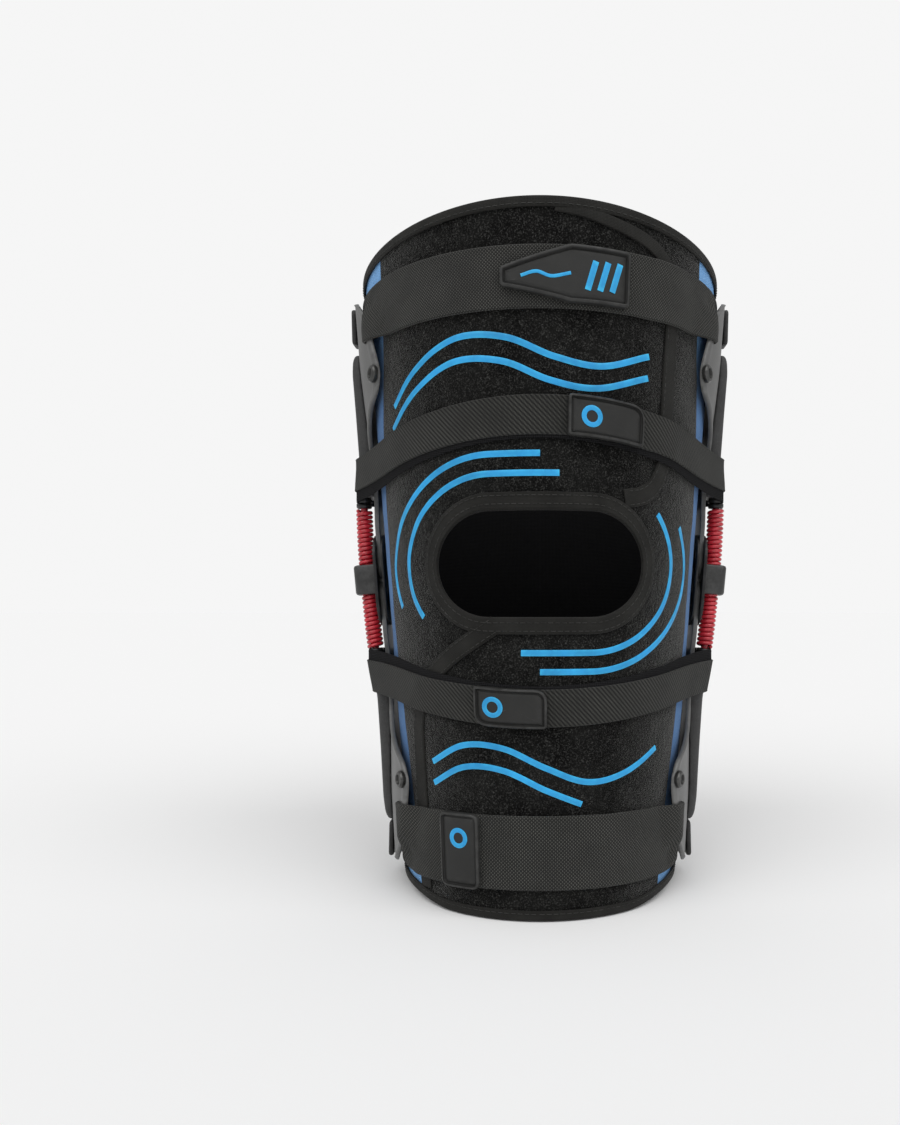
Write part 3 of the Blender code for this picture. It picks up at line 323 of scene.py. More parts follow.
# Webbing: thread pitch, the leg's radius under it, threads in a repeat of its weave, and its tone
Webbing = namedtuple("Webbing", "name pitch radius repeat tone")
WEBBINGS = {
    "thigh_strap": Webbing("thigh_webbing", 0.00070, 0.087, 2.0, 0.029),
    "upper_knee_strap": Webbing("upper_knee_webbing", 0.00052, 0.084, 4.0, 0.025),
    "lower_knee_strap": Webbing("lower_knee_webbing", 0.00052, 0.075, 4.0, 0.025),
    "calf_strap": Webbing("calf_webbing", 0.00078, 0.070, 2.0, 0.030),
}

# Moulded, printed and metal finishes, all with a fine grain
Moulding = namedtuple(
    "Moulding", "name colour roughness grain_size depth speck coat metallic", defaults=(0.0, 0.0, 0.0)
)
MOULDINGS = {
    "thread": Moulding("stitch_thread", (0.022, 0.022, 0.020), 0.60, 0.0003, 0.00003),
    "rubber": Moulding("tab_rubber", (0.021, 0.021, 0.020), 0.50, 0.0004, 0.00004),
    "blue_print": Moulding("blue_print", (0.026, 0.345, 0.740), 0.45, 0.0003, 0.00002),
    "frame": Moulding("frame_satin", (0.110, 0.110, 0.108), 0.42, 0.0006, 0.00004, coat=0.1),
    "housing": Moulding("housing_grain", (0.042, 0.042, 0.042), 0.55, 0.0005, 0.00009, speck=0.6),
    "end_tab": Moulding("end_tab_grain", (0.024, 0.024, 0.024), 0.50, 0.0005, 0.00007, speck=0.3),
    "hinge": Moulding("hinge_satin", (0.022, 0.022, 0.022), 0.38, 0.0005, 0.00003, metallic=0.4),
    "clamp": Moulding("clamp_satin", (0.030, 0.030, 0.0295), 0.40, 0.0005, 0.00004, coat=0.2),
    "ferrule": Moulding("ferrule_black", (0.007, 0.007, 0.007), 0.35, 0.0004, 0.00003, coat=0.2),
    "metal": Moulding("lug_metal", (0.060, 0.060, 0.058), 0.34, 0.0005, 0.00002, metallic=0.7),
    "red": Moulding("spring_red", (0.42, 0.014, 0.026), 0.28, 0.0008, 0.00002, coat=0.5),
}


def ease(value):
    value = min(max(value, 0.0), 1.0)
    return value * value * (3 - 2 * value)


def along_rows(rows, place):
    """The value at a place, on a smooth curve through rows of (place, value) that never overshoots."""
    if place <= rows[0][0]:
        return rows[0][1]
    if place >= rows[-1][0]:
        return rows[-1][1]
    index = max(i for i in range(len(rows) - 1) if rows[i][0] <= place)
    width = rows[index + 1][0] - rows[index][0]

    def slope(row):
        if row in (0, len(rows) - 1):
            near = min(row, len(rows) - 2)
            return (rows[near + 1][1] - rows[near][1]) / (rows[near + 1][0] - rows[near][0])
        before = (rows[row][1] - rows[row - 1][1]) / (rows[row][0] - rows[row - 1][0])
        after = (rows[row + 1][1] - rows[row][1]) / (rows[row + 1][0] - rows[row][0])
        return 0.0 if before * after <= 0 else 2 * before * after / (before + after)

    part = (place - rows[index][0]) / width
    square, cube = part * part, part * part * part
    return (
        rows[index][1] * (2 * cube - 3 * square + 1)
        + slope(index) * width * (cube - 2 * square + part)
        + rows[index + 1][1] * (3 * square - 2 * cube)
        + slope(index + 1) * width * (cube - square)
    )


def spread(start, end, count):
    """count + 1 even steps from start to end."""
    return [start + (end - start) * step / count for step in range(count + 1)]


def smooth_line(points, steps):
    """Points on a smooth curve through a list of points, steps for each stretch, and the last point."""
    line = []
    for index in range(len(points) - 1):
        first, last = points[index], points[index + 1]
        before = points[index - 1] if index else first * 2 - last
        after = points[index + 2] if index + 2 < len(points) else last * 2 - first
        for step in range(steps):
            part = step / steps
            square, cube = part * part, part * part * part
            line.append(
                0.5
                * (
                    first * 2
                    + (last - before) * part
                    + (before * 2 - first * 5 + last * 4 - after) * square
                    + (first * 3 - before - last * 3 + after) * cube
                )
            )
    return line + [points[-1]]


def sleeve_radius(height):
    return CALF_RADIUS + (THIGH_RADIUS - CALF_RADIUS) * along_rows(FLARE, height / SLEEVE_HEIGHT)


def hem_height(angle):
    flat = sin(HEM_FLAT_ANGLE)
    return GAP + TAPE_THICKNESS + HEM_RISE * ease((abs(sin(angle)) - flat) / (1 - flat))


def rim_height(angle):
    return SLEEVE_HEIGHT - GAP - TAPE_THICKNESS - RIM_DIP * sin(angle) ** 2


def polar(angle, radius, height):
    """A point at an angle from the front, counted towards +X."""
    return Vector((radius * sin(angle), -radius * cos(angle), height))


def new_piece(name, mesh, node_names=(), material=None, sharp=40):
    """A piece of the brace that rides on its one body, and stands for the nodes it is named for."""
    piece = bpy.data.objects.new(name, mesh)
    bpy.context.scene.collection.objects.link(piece)
    mesh.shade_smooth()
    mesh.set_sharp_from_angle(angle=radians(sharp))
    if material:
        mesh.materials.clear()
        mesh.materials.append(material)
    if node_names:
        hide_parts(*node_names)
    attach(piece, "root")
    return piece


def mesh_from(name, shape):
    bmesh.ops.recalc_face_normals(shape, faces=shape.faces)
    mesh = bpy.data.meshes.new(name)
    shape.to_mesh(mesh)
    shape.free()
    return mesh


def sheet_mesh(name, columns):
    """An open surface through columns of as many points each."""
    shape = bmesh.new()
    rows = [[shape.verts.new(point) for point in column] for column in columns]
    for first, second in zip(rows, rows[1:]):
        for low in range(len(first) - 1):
            shape.faces.new((first[low], second[low], second[low + 1], first[low + 1]))
    return mesh_from(name, shape)


def add_rings(shape, rings, joined=False, capped=True):
    """Closed rings of as many points each, bridged in turn, with the ends joined to each other or capped."""
    placed = [[shape.verts.new(point) for point in ring] for ring in rings]
    pairs = list(zip(placed, placed[1:])) + ([(placed[-1], placed[0])] if joined else [])
    for first, second in pairs:
        for index in range(len(first)):
            after = (index + 1) % len(first)
            shape.faces.new((first[index], first[after], second[after], second[index]))
    if capped and not joined:
        for ring, flip in ((placed[0], True), (placed[-1], False)):
            middle = shape.verts.new(sum((vert.co for vert in ring), Vector()) / len(ring))
            for index in range(len(ring)):
                corners = (ring[index], ring[(index + 1) % len(ring)], middle)
                shape.faces.new(reversed(corners) if flip else corners)


def ring_mesh(name, rings, joined=False, capped=True):
    shape = bmesh.new()
    add_rings(shape, rings, joined, capped)
    return mesh_from(name, shape)


def add_tube(shape, points, radius, sides, closed=False):
    """A round tube along points, with its ends rounded off."""
    rings = []
    across = None
    count = len(points)
    for index, point in enumerate(points):
        if closed:
            along = (points[(index + 1) % count] - points[index - 1]).normalized()
        else:
            along = (points[min(index + 1, count - 1)] - points[max(index - 1, 0)]).normalized()
        if across is None:
            across = along.orthogonal().normalized()
        across = (across - along * across.dot(along)).normalized()
        other = along.cross(across)
        ends = [(0.0, 1.0)]
        if not closed and index == 0:
            ends = [(-0.85, 0.45), (-0.45, 0.85), (0.0, 1.0)]
        if not closed and index == count - 1:
            ends = [(0.0, 1.0), (0.45, 0.85), (0.85, 0.45)]
        for shift, share in ends:
            ring = []
            for side in range(sides):
                turn = 2 * pi * side / sides
                spoke = across * cos(turn) + other * sin(turn)
                ring.append(point + along * shift * radius + spoke * radius * share)
            rings.append(ring)
    add_rings(shape, rings, joined=closed, capped=not closed)


def tube_mesh(name, points, radius, sides, closed=False):
    shape = bmesh.new()
    add_tube(shape, points, radius, sides, closed)
    return mesh_from(name, shape)


def rounded_outline(corners, steps=6):
    """A closed flat outline of (across, along) corners, each rounded by its own radius."""
    outline = []
    count = len(corners)
    for index, (x, y, radius) in enumerate(corners):
        here = Vector((x, y))
        before = (Vector(corners[index - 1][:2]) - here).normalized()
        after = (Vector(corners[(index + 1) % count][:2]) - here).normalized()
        half = before.angle(after) / 2
        reach = radius / max(abs(sin(half) / cos(half)), 0.01)
        start, end = here + before * reach, here + after * reach
        for step in range(steps + 1):
            part = step / steps
            outline.append(start * (1 - part) ** 2 + here * 2 * part * (1 - part) + end * part * part)
    return outline


def even_outline(outline, step):
    """The closed outline again, with points about a step apart."""
    points = []
    for index, point in enumerate(outline):
        after = outline[(index + 1) % len(outline)]
        parts = max(1, ceil((after - point).length / step))
        points += [point.lerp(after, part / parts) for part in range(parts)]
    return points


def inset_outline(outline, depth):
    """The closed outline moved inwards by a depth, for one that runs counter-clockwise."""
    moved = []
    for index, point in enumerate(outline):
        along = (outline[(index + 1) % len(outline)] - outline[index - 1]).normalized()
        moved.append(point + Vector((-along.y, along.x)) * depth)
    return moved


def merge_points(name, mesh, distance=1e-6):
    shape = bmesh.new()
    shape.from_mesh(mesh)
    bmesh.ops.remove_doubles(shape, verts=shape.verts, dist=distance)
    bpy.data.meshes.remove(mesh)
    return mesh_from(name, shape)


def panel_edge(side, front, share):
    """The angle of a blue side panel's front or back edge."""
    half = SIDE_PANEL_HALF_ANGLE * along_rows(SIDE_PANEL, share)
    return side * (pi / 2 - half if front else pi / 2 + half)


def wall_point(angle, height, out=0.0):
    """A place on the padded wall, which is slightly uneven, or a little out of it."""
    point = polar(angle, sleeve_radius(height), height)
    ripple = sum(tall * noise.noise(point * often) for tall, often in WALL_RIPPLES)
    return polar(angle, sleeve_radius(height) + min(ripple - WALL_SINK, 0.0) + out, height)


def wall_columns(edges, column_count, row_count):
    columns = []
    for across in spread(0.0, 1.0, column_count):
        column = []
        for share in spread(0.0, 1.0, row_count):
            start, end = edges(share)
            angle = start + (end - start) * across
            bottom, top = hem_height(angle), rim_height(angle)
            height = bottom + (top - bottom) * share
            column.append(wall_point(angle, height))
        columns.append(column)
    return columns


def opening_outline(steps=24):
    """Points and outward directions round the kneecap opening, seen from the front."""
    radius = OPENING_HEIGHT / 2
    run = OPENING_WIDTH / 2 - radius
    outline = []
    for centre, start in ((run, -pi / 2), (-run, pi / 2)):
        for turn in spread(start, start + pi, steps):
            direction = Vector((cos(turn), 0.0, sin(turn)))
            outline.append((Vector((centre, 0.0, OPENING_MIDDLE)) + radius * direction, direction))
        top = Vector((0.0, 0.0, 1.0 if centre > 0 else -1.0))
        for across in spread(run, -run, 20)[1:-1]:
            place = across if centre > 0 else -across
            outline.append((Vector((place, 0.0, OPENING_MIDDLE)) + radius * top, top))
    return outline


def finished_mesh(piece):
    """The piece's mesh with its modifiers applied."""
    graph = bpy.context.evaluated_depsgraph_get()
    return bpy.data.meshes.new_from_object(piece.evaluated_get(graph))


def make_wall(name, columns, outer_finish, lining, opening=None):
    """A padded panel with a lining on its inner face, and the kneecap opening cut through it if asked."""
    raw = bpy.data.objects.new(name + "_raw", sheet_mesh(name + "_raw", columns))
    bpy.context.scene.collection.objects.link(raw)
    raw.data.materials.append(outer_finish)
    raw.data.materials.append(lining)
    wall = raw.modifiers.new("wall", "SOLIDIFY")
    wall.thickness = SLEEVE_WALL
    wall.offset = -1 if faces_outwards(raw.data) else 1
    wall.use_even_offset = True
    wall.material_offset = 1
    cutter = None
    if opening:
        cutter = bpy.data.objects.new("opening_prism", opening)
        bpy.context.scene.collection.objects.link(cutter)
        cut = raw.modifiers.new("opening", "BOOLEAN")
        cut.operation = "DIFFERENCE"
        cut.object = cutter
    mesh = finished_mesh(raw)
    for used in filter(None, (raw, cutter)):
        bpy.data.objects.remove(used, do_unlink=True)
    return new_piece(name, mesh, (name.replace("_wall", "_panel"),), sharp=50)


def faces_outwards(mesh):
    face = mesh.polygons[len(mesh.polygons) // 2]
    return face.normal.dot(Vector((face.center.x, face.center.y, 0.0))) > 0


def make_sleeve(finishes):
    def front_edges(share):
        return panel_edge(-1, True, share), panel_edge(1, True, share)

    def back_edges(share):
        return panel_edge(1, False, share), 2 * pi + panel_edge(-1, False, share)

    prism_rings = []
    for depth in (-2 * THIGH_RADIUS, -CALF_RADIUS / 2):
        prism_rings.append([Vector((point.x, depth, point.z)) for point, _ in opening_outline()])
    prism = ring_mesh("opening_prism", prism_rings)
    plush, blue, lining = finishes["plush"], finishes["blue_cloth"], finishes["lining"]
    walls = [
        make_wall("front_wall", wall_columns(front_edges, *FRONT_GRID), plush, lining, prism),
        make_wall("back_wall", wall_columns(back_edges, *BACK_GRID), plush, lining),
    ]
    for side_name, side in SIDES:

        def side_edges(share, side=side):
            return panel_edge(side, side > 0, share), panel_edge(side, side < 0, share)

        columns = wall_columns(side_edges, *SIDE_GRID)
        walls.append(make_wall(f"side_wall_{side_name}", columns, blue, lining))


def folded_profile(outer_width, inner_width):
    """A section of tape folded over a wall's edge, as (depth into the wall, distance out of its face)."""
    outside, inside = BINDING_SEAT, -SLEEVE_WALL - BINDING_SEAT
    tape, edge = TAPE_THICKNESS, 0.0002
    profile = [(outer_width, outside), (outer_width + edge, outside + tape * 0.5)]
    profile += [(outer_width * share, outside + tape) for share in (1.0, 0.75, 0.5, 0.25)]
    middle = (outside + inside) / 2
    half = (outside - inside) / 2 + tape
    for turn in spread(pi / 2, -pi / 2, 10):
        bulge = (tape + GAP) * abs(cos(turn)) ** 0.6
        profile.append((-bulge, middle + half * sin(turn)))
    profile += [(inner_width * 0.5, inside - tape), (inner_width, inside - tape)]
    profile += [(inner_width + edge, inside - tape * 0.5), (inner_width, inside)]
    profile += [(0.0, inside), (-GAP, inside + GAP), (-GAP, outside - GAP), (0.0, outside)]
    return profile


def stitch_line(name, places, material):
    """A row of thread stitches along (point, outwards) places that are close together."""
    shape = bmesh.new()
    run, start, points = 0.0, None, []
    previous = places[0][0]
    for point, outwards in places:
        run += (point - previous).length
        previous = point
        phase = run % STITCH_PITCH
        lift = THREAD_RADIUS * (0.1 + sin(pi * min(phase / STITCH_LENGTH, 1.0)))
        if phase < STITCH_LENGTH:
            if start is not None and phase < start:
                if len(points) > 2:
                    add_tube(shape, points, THREAD_RADIUS, 6)
                points = []
            points.append(point + outwards * lift)
            start = phase
        elif points:
            if len(points) > 2:
                add_tube(shape, points, THREAD_RADIUS, 6)
            points, start = [], None
    return new_piece(name, mesh_from(name, shape), (), material, sharp=80)


def make_edge_bindings(finishes):
    for name, edge_height, inward in (("top_binding", rim_height, -1), ("hem_binding", hem_height, 1)):
        rings, seam = [], []
        for step in range(RIM_STEPS):
            angle = 2 * pi * step / RIM_STEPS
            edge = edge_height(angle)
            ring = []
            for depth, out in folded_profile(RIM_BINDING_WIDTH, RIM_BINDING_WIDTH):
                height = edge + inward * depth
                ring.append(polar(angle, sleeve_radius(height) + out, height))
            rings.append(ring)
        for step in range(RIM_STEPS * 10 + 1):
            angle = 2 * pi * step / (RIM_STEPS * 10)
            height = edge_height(angle) + inward * RIM_BINDING_WIDTH * 0.68
            face = sleeve_radius(height) + BINDING_SEAT + TAPE_THICKNESS
            seam.append((polar(angle, face, height), polar(angle, 1.0, 0.0)))
        mesh = ring_mesh(name + "_tape", rings, joined=True)
        new_piece(name + "_tape", mesh, (name,), finishes["tape"], sharp=60)
        stitch_line(name + "_stitches", seam, finishes["thread"])


def on_front(point, direction, depth, out):
    """A place on the front wall, a depth away from the opening's edge and out of the wall's face."""
    steepness = abs(point.x) / sleeve_radius(point.z)
    across = point.x + direction.x * depth * cos(asin(steepness))
    height = point.z + direction.z * depth
    radius = sleeve_radius(height) + out
    return Vector((across, -sqrt(radius * radius - across * across), height))


def make_opening_binding(finishes):
    rings = []
    for point, direction in opening_outline():
        profile = folded_profile(OPENING_BINDING_WIDTH, OPENING_BINDING_WIDTH / 2)
        rings.append([on_front(point, direction, depth, out) for depth, out in profile])
    mesh = ring_mesh("opening_tape", rings, joined=True)
    new_piece("opening_tape", mesh, ("opening_binding",), finishes["tape"], sharp=60)
    outline = opening_outline()
    for row, share in (("outer", 0.80), ("inner", 0.22)):
        line = []
        for point, direction in outline + outline[:1]:
            depth, out = OPENING_BINDING_WIDTH * share, BINDING_SEAT + TAPE_THICKNESS
            line.append(on_front(point, direction, depth, out))
        dense = smooth_line(line, 14)
        seam = [(place, Vector((place.x, place.y, 0.0)).normalized()) for place in dense]
        stitch_line(f"opening_stitches_{row}", seam, finishes["thread"])


def route_points(route, steps=8):
    """A flap tape's route as points of (arc, height), on one smooth curve."""
    spots = []
    for degrees, share in route:
        height = share * SLEEVE_HEIGHT
        spots.append(Vector((radians(degrees) * sleeve_radius(height), height)))
    return smooth_line(spots, steps)


def strip_place(spot, out):
    return polar(spot.x / sleeve_radius(spot.y), sleeve_radius(spot.y) + out, spot.y)


def strip_rings(spots, width, thickness, out):
    """Rings of a flat strip on the sleeve along (arc, height) spots: rounded edges and a slight crown."""
    section = ((-0.5, 0.0), (-0.5, 0.55), (-0.47, 0.92), (-0.40, 1.0), (-0.2, 1.06), (0.0, 1.08))
    section += ((0.2, 1.06), (0.40, 1.0), (0.47, 0.92), (0.5, 0.55), (0.5, 0.0), (0.0, 0.0))
    rings = []
    for index, spot in enumerate(spots):
        before, after = spots[max(index - 1, 0)], spots[min(index + 1, len(spots) - 1)]
        along = (after - before).normalized()
        # The tape is cut narrower where it runs into the rim.
        narrowed = 0.52 + 0.48 * ease((SLEEVE_HEIGHT - spot.y) / FLAP_NARROWS_BELOW_RIM)
        across = Vector((-along.y, along.x)) * width * narrowed
        full = thickness * (0.7 + 0.3 * ease(min(index, len(spots) - 1 - index) / 8))
        rings.append([strip_place(spot + across * share, out + full * lift) for share, lift in section])
    return rings


def offset_seam(spots, shift, out):
    seam = []
    for index in range(1, len(spots) - 1):
        along = (spots[index + 1] - spots[index - 1]).normalized()
        place = strip_place(spots[index] + Vector((-along.y, along.x)) * shift, out)
        seam.append(place)
    dense = smooth_line(seam, 6)
    return [(place, Vector((place.x, place.y, 0.0)).normalized()) for place in dense]


def make_flap_tapes(finishes):
    for name, route in (("upper_flap_tape", UPPER_FLAP_ROUTE), ("lower_flap_tape", LOWER_FLAP_ROUTE)):
        spots = route_points(route)
        rings = strip_rings(spots, FLAP_TAPE_WIDTH, TAPE_THICKNESS, FLAP_SEAT)
        mesh = ring_mesh(name + "_band", rings)
        new_piece(name + "_band", mesh, (name,), finishes["tape"], sharp=60)
        for row, share in (("a", -0.36), ("b", 0.36)):
            straight = [spot for spot in spots if spot.y < SLEEVE_HEIGHT * 0.90]
            seam = offset_seam(straight, FLAP_TAPE_WIDTH * share, FLAP_SEAT + TAPE_THICKNESS)
            stitch_line(f"{name}_stitches_{row}", seam, finishes["thread"])


def film_mesh(name, spots, place, width=FILM_WIDTH, closed=False):
    """A thin printed line along flat spots, which place puts on a surface at a height above it."""
    section = ((-0.5, -0.5), (-0.5, 0.6), (-0.42, 1.0), (0.0, 1.05), (0.42, 1.0), (0.5, 0.6), (0.5, -0.5))
    rings = []
    for index, spot in enumerate(spots):
        if closed:
            before, after = spots[index - 1], spots[(index + 1) % len(spots)]
        else:
            before, after = spots[max(index - 1, 0)], spots[min(index + 1, len(spots) - 1)]
        along = (after - before).normalized()
        across = Vector((-along.y, along.x)) * width
        rings.append([place(spot + across * share, lift * FILM_THICKNESS) for share, lift in section])
    return ring_mesh(name, rings, joined=closed)


def loop_place(radius, share):
    """A place on a round-ended loop round the kneecap opening, as seen from the front."""
    run = OPENING_WIDTH / 2 - OPENING_HEIGHT / 2
    length = 4 * run + 2 * pi * radius
    way = share * length
    quarter = pi * radius / 2
    if way < quarter or way > length - quarter:
        turn = (way if way < quarter else way - length) / radius
        return run + radius * cos(turn), OPENING_MIDDLE + radius * sin(turn)
    if way < quarter + 2 * run:
        return run - (way - quarter), OPENING_MIDDLE + radius
    if way < 3 * quarter + 2 * run:
        turn = pi / 2 + (way - quarter - 2 * run) / radius
        return -run + radius * cos(turn), OPENING_MIDDLE + radius * sin(turn)
    return -run + way - 3 * quarter - 2 * run, OPENING_MIDDLE - radius


def make_printed_lines(finishes):
    """Waves above and below the knee, and ripples round the kneecap opening."""

    def on_wall(spot, out):
        return wall_point(spot.x / sleeve_radius(spot.y), spot.y, out)

    for number, line in enumerate(WAVE_LINES):
        spots = smooth_line([Vector((radians(angle) * sleeve_radius(z), z)) for angle, z in line], 22)
        name = f"wave_line_{number + 1}"
        new_piece(name, film_mesh(name, spots, on_wall), (), finishes["blue_print"], sharp=60)
    for number, (away, start, end) in enumerate(RIPPLE_LINES):
        spots = []
        for share in spread(start, end, 110):
            x, z = loop_place(OPENING_HEIGHT / 2 + away, share % 1.0)
            spots.append(Vector((asin(x / sleeve_radius(z)) * sleeve_radius(z), z)))
        name = f"ripple_line_{number + 1}"
        new_piece(name, film_mesh(name, spots, on_wall), (), finishes["blue_print"], sharp=60)


def convex_hull(points):
    """The flat points on their convex hull, counter-clockwise."""
    ordered = sorted((point.x, point.y) for point in points)

    def half(places):
        chain = []
        for place in places:
            while len(chain) > 1:
                (ax, ay), (bx, by) = chain[-2], chain[-1]
                if (bx - ax) * (place[1] - by) - (by - ay) * (place[0] - bx) > 0:
                    break
                chain.pop()
            chain.append(place)
        return chain[:-1]

    return half(ordered) + half(ordered[::-1])


def reach_at(hull, angle):
    """How far a hull round the axis reaches at an angle from the front."""
    way = (sin(angle), -cos(angle))
    for index, (ax, ay) in enumerate(hull):
        bx, by = hull[(index + 1) % len(hull)]
        ex, ey = bx - ax, by - ay
        bottom = way[0] * ey - way[1] * ex
        if abs(bottom) < 1e-12:
            continue
        distance = (ax * ey - ay * ex) / bottom
        part = (ax * way[1] - ay * way[0]) / bottom
        if distance > 0 and -1e-9 <= part <= 1 + 1e-9:
            return distance
    return 0.0


def strap_height(name, angle, share):
    strap = STRAPS[name]
    turned = (angle + pi) % (2 * pi) - pi
    shift = strap.side_shift * (sin(turned) ** 2 if abs(turned) < pi / 2 else 1.0)
    return strap.middle + shift + share * strap.width / 2


def tape_angle(route, height):
    """The angle at which a flap tape passes a height."""
    places = sorted((share, radians(degrees)) for degrees, share in route)
    return along_rows(places, height / SLEEVE_HEIGHT)


def housing_outer(height):
    """A housing's outer face at a height, or the face it would have just past its spring end."""
    for spring_end, free_end in housing_ends():
        reach = (height - spring_end) / (free_end - spring_end)
        if -0.25 < reach < 1.0:
            return sleeve_radius(height) + HOUSING_STANDOFF * along_rows(HOUSING_DEPTH, max(reach, 0.0))
    return sleeve_radius(height) + HOUSING_STANDOFF


def strap_angles():
    return [2 * pi * step / STRAP_STEPS for step in range(STRAP_STEPS)]


def strap_reaches(name, share):
    """The strap's inner face at even angles round the leg, pulled tight over what lies below it."""
    strap = STRAPS[name]
    points = []
    for angle in strap_angles():
        points.append(polar(angle, sleeve_radius(strap_height(name, angle, share)) + GAP, 0.0))
    near = tape_angle(strap.route, strap.middle)
    height = strap_height(name, near, share)
    crossing = tape_angle(strap.route, height)
    half = 0.6 * FLAP_TAPE_WIDTH / sleeve_radius(height)
    for angle in (crossing - half, crossing, crossing + half):
        points.append(polar(angle, sleeve_radius(height) + TAPE_THICKNESS * 1.1 + GAP, 0.0))
    if strap.over_housings:
        height = strap_height(name, pi / 2, share)
        outer, corner = housing_outer(height), HOUSING_WIDTH / 5
        for side in (-1, 1):
            for end in (-1, 1):
                centre = Vector((side * (outer - corner), end * (HOUSING_WIDTH / 2 - corner), 0.0))
                for turn in spread(0.0, pi / 2, 6):
                    way = Vector((side * cos(turn), end * sin(turn), 0.0))
                    points.append(centre + way * (corner + GAP))
    hull = convex_hull(points)
    tight = [reach_at(hull, angle) for angle in strap_angles()]
    reaches = []
    for step, reach in enumerate(tight):
        reaches.append(0.25 * tight[step - 1] + 0.5 * reach + 0.25 * tight[(step + 1) % STRAP_STEPS])
    if strap.over_housings:
        return reaches
    return [over_wing(name, angle, share, reach) for angle, reach in zip(strap_angles(), reaches)]


def over_wing(name, angle, share, under):
    """The strap's reach where it climbs over a wing's front edge, up to the slot that it hooks into."""
    height = strap_height(name, angle, share)
    turn = abs((angle + pi) % (2 * pi) - pi)
    level, pin, end = frame_ends()[0 if height > HINGE_MIDDLE else 1]
    reach = min((height - pin) / (end - pin), 1.0)
    over = frame_inner(height, reach) + FRAME_THICKNESS + GAP
    edge = pi / 2 - frame_half_width(level, reach) / over
    rise = min(max((turn - edge + WING_CLIMB) / WING_CLIMB, 0.0), 1.0)
    fall = min(max((WING_SLOT_ANGLE + WING_SLOT_TURN - turn) / WING_SLOT_TURN, 0.0), 1.0)
    return under + max(over - under, 0.0) * min(rise, fall)


def strap_surface(name):
    """A call that gives the strap's inner face at an angle and a share of its half width."""
    tables = [strap_reaches(name, level) for level in STRAP_LEVELS]

    def face(angle, share):
        place = angle / (2 * pi) * STRAP_STEPS
        first = int(place // 1)
        part = place - first
        here, after = first % STRAP_STEPS, (first + 1) % STRAP_STEPS
        values = [table[here] * (1 - part) + table[after] * part for table in tables]
        return along_rows(list(zip(STRAP_LEVELS, values)), min(max(share, -1.0), 1.0))

    return face


def strap_section():
    """Webbing's section with rolled edges: share of the half width, and share of the thickness."""
    section = [(-0.96, 0.04), (-1.0, 0.25), (-1.0, 0.75), (-0.97, 1.0), (-0.93, 1.05), (-0.88, 0.98)]
    section += [(share, 0.98) for share in spread(-0.75, 0.75, 10)]
    section += [(0.88, 0.98), (0.93, 1.05), (0.97, 1.0), (1.0, 0.75), (1.0, 0.25), (0.96, 0.04)]
    section += [(share, 0.04) for share in spread(0.75, -0.75, 4)]
    return section


def make_straps(finishes, faces):
    for name, strap in STRAPS.items():
        rings = []
        for angle in strap_angles():
            ring = []
            for share, lift in strap_section():
                radius = faces[name](angle, share) + WEBBING_THICKNESS * lift
                ring.append(polar(angle, radius, strap_height(name, angle, share)))
            rings.append(ring)
        mesh = ring_mesh(name + "_web", rings, joined=True)
        web = new_piece(name + "_web", mesh, (name,), finishes[name], sharp=60)
        length = 2 * pi * (sum(faces[name](angle, 0.0) for angle in strap_angles()) / STRAP_STEPS)


def moulded_rings(outline, levels):
    """Rings of (flat point, height above the strap) from the outside in: levels are (inset, height) pairs."""
    rings = [[(point, height) for point in inset_outline(outline, inset)] for inset, height in levels]
    middle = sum(outline, Vector((0.0, 0.0))) / len(outline)
    inmost, height = rings[-1], levels[-1][1]
    for share in (0.85, 0.68, 0.5, 0.32, 0.14):
        rings.append([(middle + (point - middle) * share, height) for point, _ in inmost])
    return rings


def tab_marks(name, radius):
    """The blue lines on a rubber piece, as (flat spots, width, closed)."""

    def circle(degrees, height, size):
        centre = Vector((radians(degrees) * radius, height))
        return [centre + Vector((cos(turn), sin(turn))) * size for turn in spread(0.0, 2 * pi, 48)[:-1]]

    if name in TAB_RINGS:
        degrees, height = TAB_RINGS[name]
        return [(circle(degrees, height, TAB_RING_RADIUS), TAB_RING_WIDTH, True)]
    marks = []
    low, high = BADGE_BAR_ENDS
    for degrees in BADGE_BAR_ANGLES:
        middle = radians(degrees) * radius
        start, end = Vector((middle - BADGE_BAR_LEAN, low)), Vector((middle + BADGE_BAR_LEAN, high))
        marks.append(([start.lerp(end, part) for part in spread(0.0, 1.0, 12)], BADGE_BAR_WIDTH, False))
    wave = [Vector((radians(degrees) * radius, height)) for degrees, height in BADGE_WAVE]
    return marks + [(smooth_line(wave, 12), BADGE_WAVE_WIDTH, False)]


def make_strap_shade_strips(finishes, faces):
    """Painted shade: a black strip that shows past the knee side of the two straps that stand off the sleeve,
    where there is only shade.
    """
    for name, away in (("upper_knee_strap", -1), ("lower_knee_strap", 1)):
        rings = []
        for angle in strap_angles():
            reach = SHADE_STRIP_FRONT_REACH + SHADE_STRIP_SIDE_REACH * sin(angle) ** 2
            ring = []
            for depth, lift in SHADE_STRIP_SECTION:
                height = strap_height(name, angle, away) + away * reach * depth
                foot = max(faces[name](angle, away), sleeve_radius(height) + GAP)
                ring.append(polar(angle, foot + SHADE_STRIP_THICKNESS * lift, height))
            rings.append(ring)
        mesh = ring_mesh(name + "_shade_strip", rings, joined=True)
        new_piece(name + "_shade_strip", mesh, (), finishes["lining"], sharp=60)


